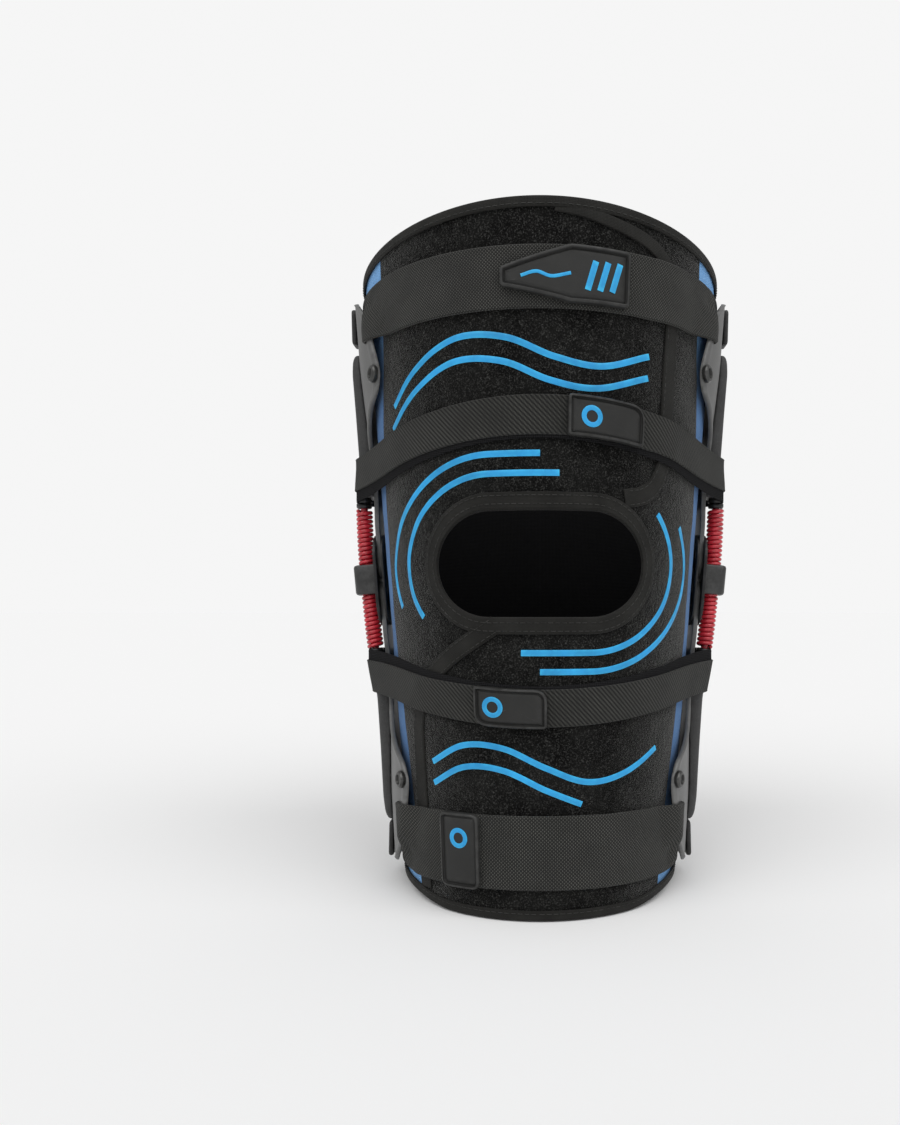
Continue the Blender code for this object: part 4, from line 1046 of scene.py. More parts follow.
def make_tabs(finishes, faces):
    """Moulded rubber pieces on the straps: a raised rim round a sunk field."""
    for name, (strap, corners, rim) in TABS.items():
        width = STRAPS[strap].width
        radius = faces[strap](radians(corners[0][0]), 0.0) + WEBBING_THICKNESS
        flat = [(radians(degrees) * radius, share * width / 2, corner) for degrees, share, corner in corners]
        outline = even_outline(rounded_outline(flat), TAB_POINT_SPACING)
        tall = TAB_THICKNESS
        levels = (
            (0.0, 0.0),
            (0.0, tall * 0.55),
            (0.00015, tall * 0.85),
            (0.00045, tall),
            (0.0008 + rim * 0.3, tall * 1.02),
            (rim, tall),
            (rim + 0.0002, tall * TAB_FIELD_LEVEL),
            (rim + 0.0005, tall * 0.55),
            (rim + 0.0009, tall * 0.58),
            (rim + 0.0012, tall * TAB_FIELD_LEVEL),
        )
        rings = []
        for flat_ring in moulded_rings(outline, levels):
            ring = []
            for point, height in flat_ring:
                angle, share = point.x / radius, point.y / (width / 2)
                face = faces[strap](angle, share) + WEBBING_THICKNESS + TAB_SEAT
                ring.append(polar(angle, face + height, strap_height(strap, angle, share)))
            rings.append(ring)
        mesh = ring_mesh(name + "_rubber", rings)
        new_piece(name + "_rubber", mesh, (name,), finishes["rubber"], sharp=50)

        def on_tab(spot, out, strap=strap, radius=radius, width=width):
            angle, share = spot.x / radius, spot.y / (width / 2)
            face = faces[strap](angle, share) + WEBBING_THICKNESS + TAB_SEAT
            field = face + TAB_THICKNESS * TAB_FIELD_LEVEL
            return polar(angle, field + out, strap_height(strap, angle, share))

        for number, (spots, line_width, closed) in enumerate(tab_marks(name, radius)):
            mark = f"{name}_mark_{number + 1}"
            mesh = film_mesh(mark, spots, on_tab, line_width, closed)
            new_piece(mark, mesh, (), finishes["blue_print"], sharp=60)


def frame_inner(height, reach):
    lift, seat = along_rows(FRAME_LIFT, reach), along_rows(FRAME_SEAT, reach)
    return sleeve_radius(height) + GAP + WING_STANDOFF * lift + (HINGE_COVER_INNER + GAP) * seat


def frame_half_width(level, reach):
    widest = UPPER_WING_HALF_WIDTH if level == "upper" else LOWER_WING_HALF_WIDTH
    return TONGUE_HALF_WIDTH + (widest - TONGUE_HALF_WIDTH) * along_rows(FRAME_WIDTH, reach)


def pin_heights():
    return HINGE_MIDDLE + PIN_SPACING / 2, HINGE_MIDDLE - PIN_SPACING / 2


def frame_ends():
    upper_pin, lower_pin = pin_heights()
    return ("upper", upper_pin, UPPER_FRAME_TOP), ("lower", lower_pin, LOWER_FRAME_BOTTOM)


def frame_rows(level, pin, end):
    """Rows of (height, half width, inner face, bend) from the frame's round tongue to its wing's end."""
    away = 1 if end > pin else -1
    rows = []
    for turn in spread(0.12, pi / 2, 9):
        height = pin - away * TONGUE_HALF_WIDTH * cos(turn)
        rows.append((height, TONGUE_HALF_WIDTH * sin(turn), frame_inner(height, 0.0), 0.0))
    for reach in spread(0.0, 1.0, 84)[1:]:
        height = pin + (end - pin) * reach
        half_width = frame_half_width(level, reach)
        rows.append((height, half_width, frame_inner(height, reach), along_rows(FRAME_BEND, reach)))
    return rows


def frame_section(ending):
    """(share of the half width, share of the thickness) round a frame, with a bead along its edge."""
    crown = 1.0 - 0.45 * ending
    bead = [(0.88, 1.0), (0.905, 1.08), (0.93, 1.24), (0.96, 1.24), (0.985, 1.10), (1.0, 0.75), (1.0, 0.30)]
    outer = [(-share, lift) for share, lift in reversed(bead)]
    outer += [(share, 1.0) for share in spread(-0.8, 0.8, 14)] + bead
    inner = [(0.985, 0.06)] + [(share, 0.0) for share in spread(0.9, -0.9, 10)] + [(-0.985, 0.06)]
    return [(share, lift * crown if lift > 0.5 else lift) for share, lift in outer] + inner


def make_frames(finishes):
    for side_name, side in SIDES:
        for level, pin, end in frame_ends():
            rings = []
            rows = frame_rows(level, pin, end)
            for index, (height, half_width, inner, bend) in enumerate(rows):
                last = len(rows) - 1 - index
                ending = 1.0 if index == 0 or last == 0 else (0.35 if index == 1 or last == 1 else 0.0)
                ring = []
                for share, lift in frame_section(ending):
                    turn = share * half_width / inner
                    across = inner * sin(turn) * bend + share * half_width * (1 - bend)
                    foot = inner - bend * inner * (1 - cos(turn))
                    out = Vector((cos(turn * bend), sin(turn * bend), 0.0))
                    place = Vector((foot, across, height)) + out * FRAME_THICKNESS * lift
                    ring.append(Vector((side * place.x, place.y, place.z)))
                rings.append(ring)
            name = f"{level}_frame_{side_name}"
            mesh = ring_mesh(name + "_wing", rings)
            new_piece(name + "_wing", mesh, (name,), finishes["frame"], sharp=50)


def hinge_lean():
    top, bottom = HINGE_MIDDLE + HINGE_COVER_HEIGHT / 2, HINGE_MIDDLE - HINGE_COVER_HEIGHT / 2
    return atan2(sleeve_radius(top) - sleeve_radius(bottom), HINGE_COVER_HEIGHT)


def hinge_frame(side, height, distance):
    """The place and turn of a piece on the leaning hinge stack, with its own +Z pointing outwards."""
    along, lean = height - HINGE_MIDDLE, hinge_lean()
    away = distance * cos(lean) + along * sin(lean)
    start = sleeve_radius(HINGE_MIDDLE)
    place = Vector((side * (start + away), 0.0, HINGE_MIDDLE + along * cos(lean) - distance * sin(lean)))
    outwards = Vector((side * cos(lean), 0.0, -sin(lean)))
    across = Vector((0.0, side * 1.0, 0.0))
    up = outwards.cross(across)
    turn = Matrix((across, up, outwards)).transposed().to_4x4()
    return Matrix.Translation(place) @ turn


def bevelled_plate(name, outline, thickness, bevel):
    """A flat plate round an outline, from z = 0 up, with rounded edges."""
    levels = ((bevel, 0.0), (bevel * 0.3, bevel * 0.3), (0.0, bevel), (0.0, thickness - bevel))
    levels += ((bevel * 0.3, thickness - bevel * 0.3), (bevel, thickness))
    rings = []
    for inset, height in levels:
        rings.append([Vector((point.x, point.y, height)) for point in inset_outline(outline, inset)])
    return ring_mesh(name, rings)


def cover_outline():
    half, run = HINGE_COVER_HALF_WIDTH, HINGE_COVER_HEIGHT / 2 - HINGE_COVER_HALF_WIDTH
    outline = []
    for centre, start in ((run, 0.0), (-run, pi)):
        for turn in spread(start, start + pi, 24):
            outline.append(Vector((half * cos(turn), centre + half * sin(turn))))
    return outline


def turned(name, profile, steps=40):
    """A profile of (radius, height) turned round Z; a profile that starts off the axis is a closed ring."""
    rings = []
    for step in range(steps):
        turn = 2 * pi * step / steps
        rings.append([Vector((radius * cos(turn), radius * sin(turn), z)) for radius, z in profile])
    shape = bmesh.new()
    add_rings(shape, rings, joined=True)
    bmesh.ops.remove_doubles(shape, verts=shape.verts, dist=1e-7)
    loose = [face for face in shape.faces if face.calc_area() < 1e-14]
    bmesh.ops.delete(shape, geom=loose, context="FACES")
    return mesh_from(name, shape)


def make_hinges(finishes):
    outer_start = GAP + HINGE_COVER_INNER + GAP + FRAME_THICKNESS + GAP
    for side_name, side in SIDES:
        for level, start, thickness in (
            ("inner", GAP, HINGE_COVER_INNER),
            ("outer", outer_start, HINGE_COVER_OUTER),
        ):
            name = f"hinge_cover_{level}_{side_name}"
            mesh = bevelled_plate(name + "_plate", cover_outline(), thickness, HINGE_COVER_BEVEL)
            mesh.transform(hinge_frame(side, HINGE_MIDDLE, start))
            new_piece(name + "_plate", mesh, (name,), finishes["hinge"], sharp=35)
        top = outer_start + HINGE_COVER_OUTER
        head = PIN_RADIUS * 1.25
        profile = (
            (0.0, -top),
            (PIN_RADIUS, -top),
            (PIN_RADIUS, 0.0),
            (head, 0.0),
            (head, 0.0003),
            (head * 0.8, 0.0006),
            (head * 0.45, 0.0006),
            (head * 0.36, 0.0003),
            (0.0, 0.0003),
        )
        for level, height in zip(("upper", "lower"), pin_heights()):
            name = f"hinge_pin_{level}_{side_name}"
            mesh = turned(name + "_rivet", profile)
            mesh.transform(hinge_frame(side, height, top))
            new_piece(name + "_rivet", mesh, (name,), finishes["metal"], sharp=35)


def rod_axis(side, height):
    standoff = ROD_STANDOFF * along_rows(ROD_PATH, height / SLEEVE_HEIGHT)
    return Vector((side * (sleeve_radius(height) + standoff), 0.0, height))


def rod_direction(side, height):
    step = SLEEVE_HEIGHT / 60
    return (rod_axis(side, height + step) - rod_axis(side, height - step)).normalized()


def rod_frame(side, height):
    """The place and turn of a piece on the bowed rod, with its own +Z along it and +X away from the leg."""
    up = rod_direction(side, height)
    across = Vector((0.0, 1.0, 0.0))
    out = across.cross(up).normalized()
    if out.x * side < 0:
        out, across = -out, -across
    turn = Matrix((out, up.cross(out), up)).transposed().to_4x4()
    return Matrix.Translation(rod_axis(side, height)) @ turn


def make_springs(finishes):
    for side_name, side in SIDES:
        name = f"spring_rod_{side_name}"
        line = [rod_axis(side, height) for height in spread(ROD_BOTTOM, ROD_TOP, 60)]
        bar = tube_mesh(name + "_bar", line, ROD_RADIUS, 16)
        new_piece(name + "_bar", bar, (name,), finishes["red"])
        steps = 22
        winding, points = COIL_RADIUS - COIL_WIRE / 2, []
        start, end = COIL_BOTTOM + COIL_WIRE / 2, COIL_TOP - COIL_WIRE / 2
        for step in range(COIL_TURNS * steps + 1):
            height = start + (end - start) * step / (COIL_TURNS * steps)
            turn = 2 * pi * step / steps
            points.append(rod_frame(side, height) @ Vector((winding * cos(turn), winding * sin(turn), 0.0)))
        name = f"spring_coil_{side_name}"
        mesh = tube_mesh(name + "_wire", points, COIL_WIRE / 2, 12)
        new_piece(name + "_wire", mesh, (name,), finishes["red"], sharp=70)
        make_ferrules(side_name, side, finishes)
        make_clamp(side_name, side, finishes)


def make_ferrules(side_name, side, finishes):
    half, outer = FERRULE_LENGTH / 2 + GAP * 1.5, FERRULE_RADIUS
    bore = ROD_RADIUS + GAP / 3
    profile = (
        (bore, half),
        (outer * 0.80, half),
        (outer * 0.92, half * 0.92),
        (outer, half * 0.65),
        (outer, half * 0.15),
        (outer * 0.93, half * 0.05),
        (outer * 0.93, -half * 0.05),
        (outer, -half * 0.15),
        (outer, -half * 0.65),
        (outer * 0.92, -half * 0.92),
        (outer * 0.80, -half),
        (bore, -half),
    )
    for level, height in (("upper", COIL_TOP + half), ("lower", COIL_BOTTOM - half)):
        name = f"{level}_ferrule_{side_name}"
        mesh = turned(name + "_collar", profile)
        mesh.transform(rod_frame(side, height))
        new_piece(name + "_collar", mesh, (name,), finishes["ferrule"], sharp=50)


def cover_face():
    return sleeve_radius(HINGE_MIDDLE) + GAP * 4 + HINGE_COVER_INNER + FRAME_THICKNESS + HINGE_COVER_OUTER


def make_clamp(side_name, side, finishes):
    """A saddle bent round the coil's middle, its two feet on the hinge's outer cover."""
    axis = abs(rod_axis(side, HINGE_MIDDLE).x)
    channel = COIL_RADIUS + GAP * 0.6
    foot = axis - cover_face() - CLAMP_HEIGHT / 2 * sin(hinge_lean())
    outer, half, corner = channel + CLAMP_WALL, CLAMP_WIDTH / 2, CLAMP_CORNER
    outside = [Vector((-foot, -half))]
    for turn in spread(-pi / 2, 0.0, 8):
        outside.append(Vector((outer - corner + corner * cos(turn), -half + corner + corner * sin(turn))))
    for turn in spread(0.0, pi / 2, 8):
        outside.append(Vector((outer - corner + corner * cos(turn), half - corner + corner * sin(turn))))
    outside.append(Vector((-foot, half)))
    inside = [Vector((-foot, channel))]
    for turn in spread(pi / 2, -pi / 2, 24):
        inside.append(Vector((channel * cos(turn), channel * sin(turn))))
    inside.append(Vector((-foot, -channel)))
    outline = outside + inside
    bevel, tall = CLAMP_BEVEL, CLAMP_HEIGHT / 2
    rings = []
    for inset, height in (
        (bevel, -tall),
        (bevel * 0.3, -tall + bevel * 0.3),
        (0.0, -tall + bevel),
        (0.0, 0.0),
        (0.0, tall - bevel),
        (bevel * 0.3, tall - bevel * 0.3),
        (bevel, tall),
    ):
        rings.append([Vector((point.x, point.y, height)) for point in inset_outline(outline, inset)])
    shape = bmesh.new()
    add_rings(shape, rings, capped=False)
    for level in (min(v.co.z for v in shape.verts), max(v.co.z for v in shape.verts)):
        rim = [edge for edge in shape.edges if all(abs(v.co.z - level) < 1e-7 for v in edge.verts)]
        bmesh.ops.triangle_fill(shape, use_beauty=True, edges=rim)
    name = f"spring_clamp_{side_name}"
    mesh = mesh_from(name + "_saddle", shape)
    mesh.transform(rod_frame(side, HINGE_MIDDLE))
    new_piece(name + "_saddle", mesh, (name,), finishes["clamp"], sharp=35)


def housing_ends():
    run = FERRULE_LENGTH + 2 * GAP
    upper = COIL_TOP + run + FERRULE_RADIUS * abs(rod_direction(1, COIL_TOP).x)
    lower = COIL_BOTTOM - run - FERRULE_RADIUS * abs(rod_direction(1, COIL_BOTTOM).x)
    return (upper, UPPER_HOUSING_TOP), (lower, LOWER_HOUSING_BOTTOM)


def frame_outer(height):
    for level, pin, end in frame_ends():
        if (level == "upper") == (height > HINGE_MIDDLE):
            return frame_inner(height, (height - pin) / (end - pin)) + FRAME_THICKNESS
    return 0.0


def housing_section(inner, outer, half):
    """A rounded box round a housing: flat foot on the frame, full corners outside."""
    corner = min(HOUSING_CORNER, (outer - inner) * 0.8, half * 0.8)
    section = [Vector((inner, -half + 0.0003)), Vector((inner + 0.0004, -half))]
    for turn in spread(-pi / 2, 0.0, 7):
        section.append(Vector((outer - corner + corner * cos(turn), -half + corner + corner * sin(turn))))
    for turn in spread(0.0, pi / 2, 7):
        section.append(Vector((outer - corner + corner * cos(turn), half - corner + corner * sin(turn))))
    return section + [Vector((inner + 0.0004, half)), Vector((inner, half - 0.0003))]


def make_housings(finishes):
    reaches = [0.0, 0.004, 0.012, 0.025] + spread(0.05, 0.88, 26)
    reaches += [0.91, 0.935, 0.955, 0.972, 0.985, 0.995, 1.0]
    for side_name, side in SIDES:
        for level, (spring_end, free_end) in zip(("upper", "lower"), housing_ends()):
            rings = []
            length = abs(free_end - spring_end)
            for reach in reaches:
                height = spring_end + (free_end - spring_end) * reach
                inner = frame_outer(height) + GAP * 1.2
                full = sleeve_radius(height) + HOUSING_STANDOFF * along_rows(HOUSING_DEPTH, min(reach, 0.9))
                from_end = min((1 - reach) * length / HOUSING_END_ROUNDING, 1.0)
                close = sqrt(max(1 - (1 - from_end) ** 2, 0.0))
                from_start = min(reach * length / HOUSING_MOUTH_ROUNDING, 1.0)
                mouth = 0.86 + 0.14 * sqrt(max(1 - (1 - from_start) ** 2, 0.0))
                depth = max(full - inner, FRAME_THICKNESS)
                outer = inner + depth * (0.42 + 0.58 * close) * (0.94 + 0.06 * mouth)
                half = HOUSING_WIDTH / 2 * (0.45 + 0.55 * close) * mouth
                rings.append([Vector((side * p.x, p.y, height)) for p in housing_section(inner, outer, half)])
            name = f"{level}_housing_{side_name}"
            mesh = ring_mesh(name + "_shell", rings)
            new_piece(name + "_shell", mesh, (name,), finishes["housing"], sharp=50)


def make_lugs(finishes):
    """Round lugs at the wings' front corners: a chamfered button with a shallow round hollow in its top."""
    profile = (
        (0.0, 0.0),
        (LUG_RADIUS * 0.95, 0.0),
        (LUG_RADIUS, LUG_HEIGHT * 0.15),
        (LUG_RADIUS, LUG_HEIGHT * 0.62),
        (LUG_RADIUS * 0.86, LUG_HEIGHT * 0.92),
        (LUG_RADIUS * 0.70, LUG_HEIGHT),
        (LUG_RADIUS * 0.58, LUG_HEIGHT * 0.96),
        (LUG_RADIUS * 0.50, LUG_HEIGHT * 0.70),
        (LUG_RADIUS * 0.20, LUG_HEIGHT * 0.66),
        (0.0, LUG_HEIGHT * 0.66),
    )
    for side_name, side in SIDES:
        for level, pin, end in frame_ends():
            height = pin + (end - pin) * LUG_REACH
            radius = frame_inner(height, LUG_REACH) + FRAME_THICKNESS + GAP * 0.3
            from_middle = UPPER_LUG_FROM_MIDDLE if level == "upper" else LOWER_LUG_FROM_MIDDLE
            angle = side * (pi / 2 - from_middle / radius)
            outwards = polar(angle, 1.0, 0.0)
            name = f"{level}_lug_{side_name}"
            mesh = turned(name + "_button", profile)
            place = Matrix.Translation(polar(angle, radius, height))
            mesh.transform(place @ outwards.to_track_quat("Z", "Y").to_matrix().to_4x4())
            new_piece(name + "_button", mesh, (name,), finishes["metal"], sharp=35)


def make_end_tabs(finishes):
    """Blocks at the frames' ends, narrower towards the knee."""
    for side_name, side in SIDES:
        for level, _, end in frame_ends():
            away = 1 if level == "upper" else -1
            tall, half = END_TAB_HEIGHT, END_TAB_WIDTH / 2
            places = ((-half, tall), (-half * 0.72, 0.0), (half * 0.72, 0.0), (half, tall))
            corners = [(x, y, END_TAB_CORNER) for x, y in places]
            outline = even_outline(rounded_outline(corners), 0.0012)
            mesh = bevelled_plate("end_tab", outline, END_TAB_THICKNESS, END_TAB_BEVEL)
            middle = end - away * tall / 2
            inner = max(frame_outer(middle + tall / 2), frame_outer(middle - tall / 2)) + GAP * 0.5
            foot = Vector((side * inner, 0.0, end - away * tall))
            axes = Matrix(((0, 0, side), (1, 0, 0), (0, away, 0))).to_4x4()
            mesh.transform(Matrix.Translation(foot) @ axes)
            name = f"{level}_end_tab_{side_name}"
            mesh = merge_points(name + "_block", mesh)
            new_piece(name + "_block", mesh, (name,), finishes["end_tab"], sharp=35)


def plug(tree, socket, value):
    """Sets a socket to a number or colour, or links it to another node's socket."""
    if isinstance(value, bpy.types.NodeSocket):
        tree.links.new(value, socket)
    elif value is not None:
        socket.default_value = value


def math_node(tree, operation, first, second=None, third=None, clamp=False):
    made = tree.nodes.new("ShaderNodeMath")
    made.operation = operation
    made.use_clamp = clamp
    for socket, value in zip(made.inputs, (first, second, third)):
        plug(tree, socket, value)
    return made.outputs[0]


def noise_node(tree, vector, scale, detail=3.0, roughness=0.55):
    made = tree.nodes.new("ShaderNodeTexNoise")
    plug(tree, made.inputs["Vector"], vector)
    plug(tree, made.inputs["Scale"], scale)
    made.inputs["Detail"].default_value = detail
    made.inputs["Roughness"].default_value = roughness
    return made.outputs["Fac"]


def fade(tree, value, low, high, start=0.0, end=1.0):
    """The value, moved from low..high to start..end and held there."""
    made = tree.nodes.new("ShaderNodeMapRange")
    for name, number in (("From Min", low), ("From Max", high), ("To Min", start), ("To Max", end)):
        made.inputs[name].default_value = number
    plug(tree, made.inputs["Value"], value)
    return made.outputs["Result"]


def blend_colours(tree, share, first, second):
    made = tree.nodes.new("ShaderNodeMix")
    made.data_type = "RGBA"
    plug(tree, made.inputs[0], share)
    plug(tree, made.inputs[6], first)
    plug(tree, made.inputs[7], second)
    return made.outputs[2]


def effect_group(name, inputs, outputs):
    """An empty shader node group with its inputs, as (name, default), and its outputs."""
    group = bpy.data.node_groups.new(name, "ShaderNodeTree")
    for label, default in inputs:
        socket = group.interface.new_socket(label, in_out="INPUT", socket_type="NodeSocketFloat")
        socket.default_value = default
    for label in outputs:
        group.interface.new_socket(label, in_out="OUTPUT", socket_type="NodeSocketFloat")
    return group, group.nodes.new("NodeGroupInput").outputs, group.nodes.new("NodeGroupOutput").inputs


def place_group(tree, group, **values):
    made = tree.nodes.new("ShaderNodeGroup")
    made.node_tree = group
    for name, value in values.items():
        plug(tree, made.inputs[name.replace("_", " ").capitalize()], value)
    return made.outputs


def leg_coordinates(tree, radius):
    """Distances round the leg and up it, in metres."""
    where = tree.nodes.new("ShaderNodeTexCoord").outputs["Object"]
    parts = tree.nodes.new("ShaderNodeSeparateXYZ")
    plug(tree, parts.inputs[0], where)
    turned_back = math_node(tree, "MULTIPLY", parts.outputs["Y"], -1.0)
    angle = math_node(tree, "ARCTAN2", parts.outputs["X"], turned_back)
    return math_node(tree, "MULTIPLY", angle, radius), parts.outputs["Z"]


def weave_group():
    """Interlaced threads: a repeat of 2 is a plain weave and of 4 a twill."""
    inputs = (("Pitch", 0.0009), ("Radius", 0.08), ("Repeat", 2.0), ("Slant", 1.0))
    group, given, result = effect_group("weave", inputs, ("Height", "Gap shade", "Thread"))
    around, up = leg_coordinates(group, given["Radius"])
    across = math_node(group, "DIVIDE", around, given["Pitch"])
    along = math_node(group, "DIVIDE", up, given["Pitch"])
    cell_across = math_node(group, "FLOOR", across)
    cell_along = math_node(group, "FLOOR", along)
    slanted = math_node(group, "MULTIPLY_ADD", cell_along, given["Slant"], cell_across)
    turn = math_node(group, "FLOORED_MODULO", slanted, given["Repeat"])
    half = math_node(group, "MULTIPLY", given["Repeat"], 0.5)
    on_top = math_node(group, "LESS_THAN", turn, half)
    bow_across = math_node(group, "SINE", math_node(group, "MULTIPLY", math_node(group, "FRACT", across), pi))
    bow_along = math_node(group, "SINE", math_node(group, "MULTIPLY", math_node(group, "FRACT", along), pi))
    warp = math_node(group, "MULTIPLY", bow_across, math_node(group, "MULTIPLY_ADD", bow_along, 0.45, 0.55))
    weft = math_node(group, "MULTIPLY", bow_along, math_node(group, "MULTIPLY_ADD", bow_across, 0.45, 0.55))
    upper = math_node(group, "MULTIPLY", warp, on_top)
    lower = math_node(group, "MULTIPLY", weft, math_node(group, "SUBTRACT", 1.0, on_top))
    height = math_node(group, "ADD", upper, lower)
    plug(group, result["Height"], height)
    # The gap mask is painted shade: darker where the threads sink between each other
    plug(group, result["Gap shade"], fade(group, height, 0.12, 0.62, 1.0, 0.0))
    plug(group, result["Thread"], on_top)
    return group


def plush_group():
    """Short looped plush: fine uneven fuzz, lint-light tips and patches where the pile lies another way."""
    inputs = (("Loop size", 0.0011),)
    group, given, result = effect_group("plush_loops", inputs, ("Height", "Tips", "Patches"))
    where = group.nodes.new("ShaderNodeTexCoord").outputs["Object"]
    scale = math_node(group, "DIVIDE", 1.0, given["Loop size"])
    fuzz = noise_node(group, where, scale, 4.0, 0.78)
    clumps = noise_node(group, where, math_node(group, "MULTIPLY", scale, 0.30), 3.0, 0.65)
    plug(group, result["Height"], math_node(group, "MULTIPLY_ADD", clumps, 0.6, fuzz))
    lint = noise_node(group, where, math_node(group, "MULTIPLY", scale, 1.5), 2.0, 0.8)
    bright, clumped = fade(group, lint, 0.50, 0.70), fade(group, clumps, 0.24, 0.58)
    plug(group, result["Tips"], math_node(group, "MULTIPLY", bright, clumped))
    plug(group, result["Patches"], noise_node(group, where, 55.0, 4.0, 0.65))
    return group


def grain_group():
    """The fine pebbled grain of moulded pieces, with a fainter unevenness under it."""
    inputs = (("Grain size", 0.0004),)
    group, given, result = effect_group("moulded_grain", inputs, ("Height", "Specks", "Cloud"))
    where = group.nodes.new("ShaderNodeTexCoord").outputs["Object"]
    scale = math_node(group, "DIVIDE", 1.0, given["Grain size"])
    pebbles = group.nodes.new("ShaderNodeTexVoronoi")
    pebbles.feature = "F1"
    plug(group, pebbles.inputs["Vector"], where)
    plug(group, pebbles.inputs["Scale"], scale)
    plug(group, result["Height"], math_node(group, "SUBTRACT", 1.0, pebbles.outputs["Distance"]))
    specks = noise_node(group, where, scale, 2.0, 0.7)
    plug(group, result["Specks"], fade(group, specks, 0.56, 0.72))
    plug(group, result["Cloud"], noise_node(group, where, 60.0, 3.0, 0.6))
    return group


def wear_and_highlight_group():
    """Where edges are lighter: partly rubbed wear and partly painted highlight where edges catch the light,
    broken up so that it is never an even line.
    """
    group, _, result = effect_group("edge_wear_and_highlight", (), ("Rubbed and lit",))
    pointed = group.nodes.new("ShaderNodeNewGeometry").outputs["Pointiness"]
    where = group.nodes.new("ShaderNodeTexCoord").outputs["Object"]
    broken = noise_node(group, where, 260.0, 4.0, 0.65)
    edge = fade(group, pointed, 0.507, 0.565)
    plug(group, result["Rubbed and lit"], math_node(group, "MULTIPLY", edge, fade(group, broken, 0.35, 0.65)))
    return group


def new_material(name, colour, roughness, **same_all_over):
    """A material, its tree, and its shader's sockets, with those that are the same all over set on it."""
    material = bpy.data.materials.new(name)
    material.use_nodes = True
    material.diffuse_color = (*colour, 1.0)
    tree = material.node_tree
    shader = tree.nodes["Principled BSDF"]
    shader.inputs["Base Color"].default_value = (*colour, 1.0)
    shader.inputs["Roughness"].default_value = roughness
    for label, value in same_all_over.items():
        shader.inputs[label.replace("_", " ")].default_value = value
    return material, tree, shader.inputs


def bump(tree, height, distance, strength=1.0):
    made = tree.nodes.new("ShaderNodeBump")
    made.inputs["Distance"].default_value = distance
    made.inputs["Strength"].default_value = strength
    plug(tree, made.inputs["Height"], height)
    return made.outputs["Normal"]


def plush_material(loops):
    material, tree, shader = new_material(
        "plush_pile",
        (0.012, 0.012, 0.012),
        0.95,
        Sheen_Weight=0.42,
        Sheen_Roughness=0.22,
        Sheen_Tint=(0.90, 0.90, 0.88, 1.0),
        Specular_IOR_Level=0.05,
    )
    pile = place_group(tree, loops, loop_size=0.0010)
    dark, mid = (0.0030, 0.0030, 0.0029, 1), (0.0105, 0.0105, 0.0100, 1)
    light = (0.066, 0.066, 0.063, 1)
    patched = blend_colours(tree, fade(tree, pile["Patches"], 0.36, 0.66), dark, mid)
    plug(tree, shader["Base Color"], blend_colours(tree, pile["Tips"], patched, light))
    plug(tree, shader["Normal"], bump(tree, pile["Height"], 0.0008, 0.9))
    return material


def blue_material(weave):
    fixed = {"Sheen_Weight": 0.15, "Sheen_Roughness": 0.5, "Specular_IOR_Level": 0.2}
    material, tree, shader = new_material("blue_knit", (0.24, 0.50, 0.95), 0.75, **fixed)
    knit = place_group(tree, weave, pitch=0.00062, radius=0.078, repeat=4.0, slant=2.0)
    where = tree.nodes.new("ShaderNodeTexCoord").outputs["Object"]
    parts = tree.nodes.new("ShaderNodeSeparateXYZ")
    plug(tree, parts.inputs[0], where)
    # Painted shade: the knit is darker steel blue between the outer straps, where the frames shade it, and
    # paler past them
    above, below = (fade(tree, parts.outputs["Z"], *heights) for heights in (PAINTED_SHADE_TOP, PAINTED_SHADE_BOTTOM))
    outside = math_node(tree, "MAXIMUM", above, below)
    thread = blend_colours(tree, outside, (0.045, 0.155, 0.360, 1), (0.22, 0.52, 0.95, 1))
    # Painted shade between the knit's threads
    base = blend_colours(tree, knit["Gap shade"], thread, (0.030, 0.085, 0.22, 1))
    cloud = fade(tree, noise_node(tree, where, 45.0, 3.0), 0.35, 0.75, 0.0, 0.35)
    plug(tree, shader["Base Color"], blend_colours(tree, cloud, base, (0.10, 0.27, 0.58, 1)))
    plug(tree, shader["Normal"], bump(tree, knit["Height"], 0.00018))
    return material


def lining_material(weave):
    tone = (0.010, 0.010, 0.011)
    material, tree, shader = new_material("inner_lining", tone, 0.85, Specular_IOR_Level=0.05)
    knit = place_group(tree, weave, pitch=0.0008, radius=0.07, repeat=4.0, slant=2.0)
    # The darker colour is painted shade between the lining's threads
    thread, gap_shade = (0.016, 0.016, 0.017, 1), (0.004, 0.004, 0.004, 1)
    plug(tree, shader["Base Color"], blend_colours(tree, knit["Gap shade"], thread, gap_shade))
    plug(tree, shader["Normal"], bump(tree, knit["Height"], 0.0002))
    return material


def tape_material(weave):
    fixed = {"Sheen_Weight": 0.04, "Specular_IOR_Level": 0.15}
    material, tree, shader = new_material("bound_tape", (0.018, 0.018, 0.016), 0.7, **fixed)
    ribs = place_group(tree, weave, pitch=0.00055, radius=0.078, repeat=2.0, slant=1.0)
    where = tree.nodes.new("ShaderNodeTexCoord").outputs["Object"]
    cloud = fade(tree, noise_node(tree, where, 90.0, 4.0), 0.35, 0.7)
    tone = blend_colours(tree, cloud, (0.0135, 0.0130, 0.0115, 1), (0.024, 0.0235, 0.021, 1))
    # Painted shade between the tape's ribs
    plug(tree, shader["Base Color"], blend_colours(tree, ribs["Gap shade"], tone, (0.006, 0.006, 0.0055, 1)))
    plug(tree, shader["Normal"], bump(tree, ribs["Height"], 0.00016))
    return material


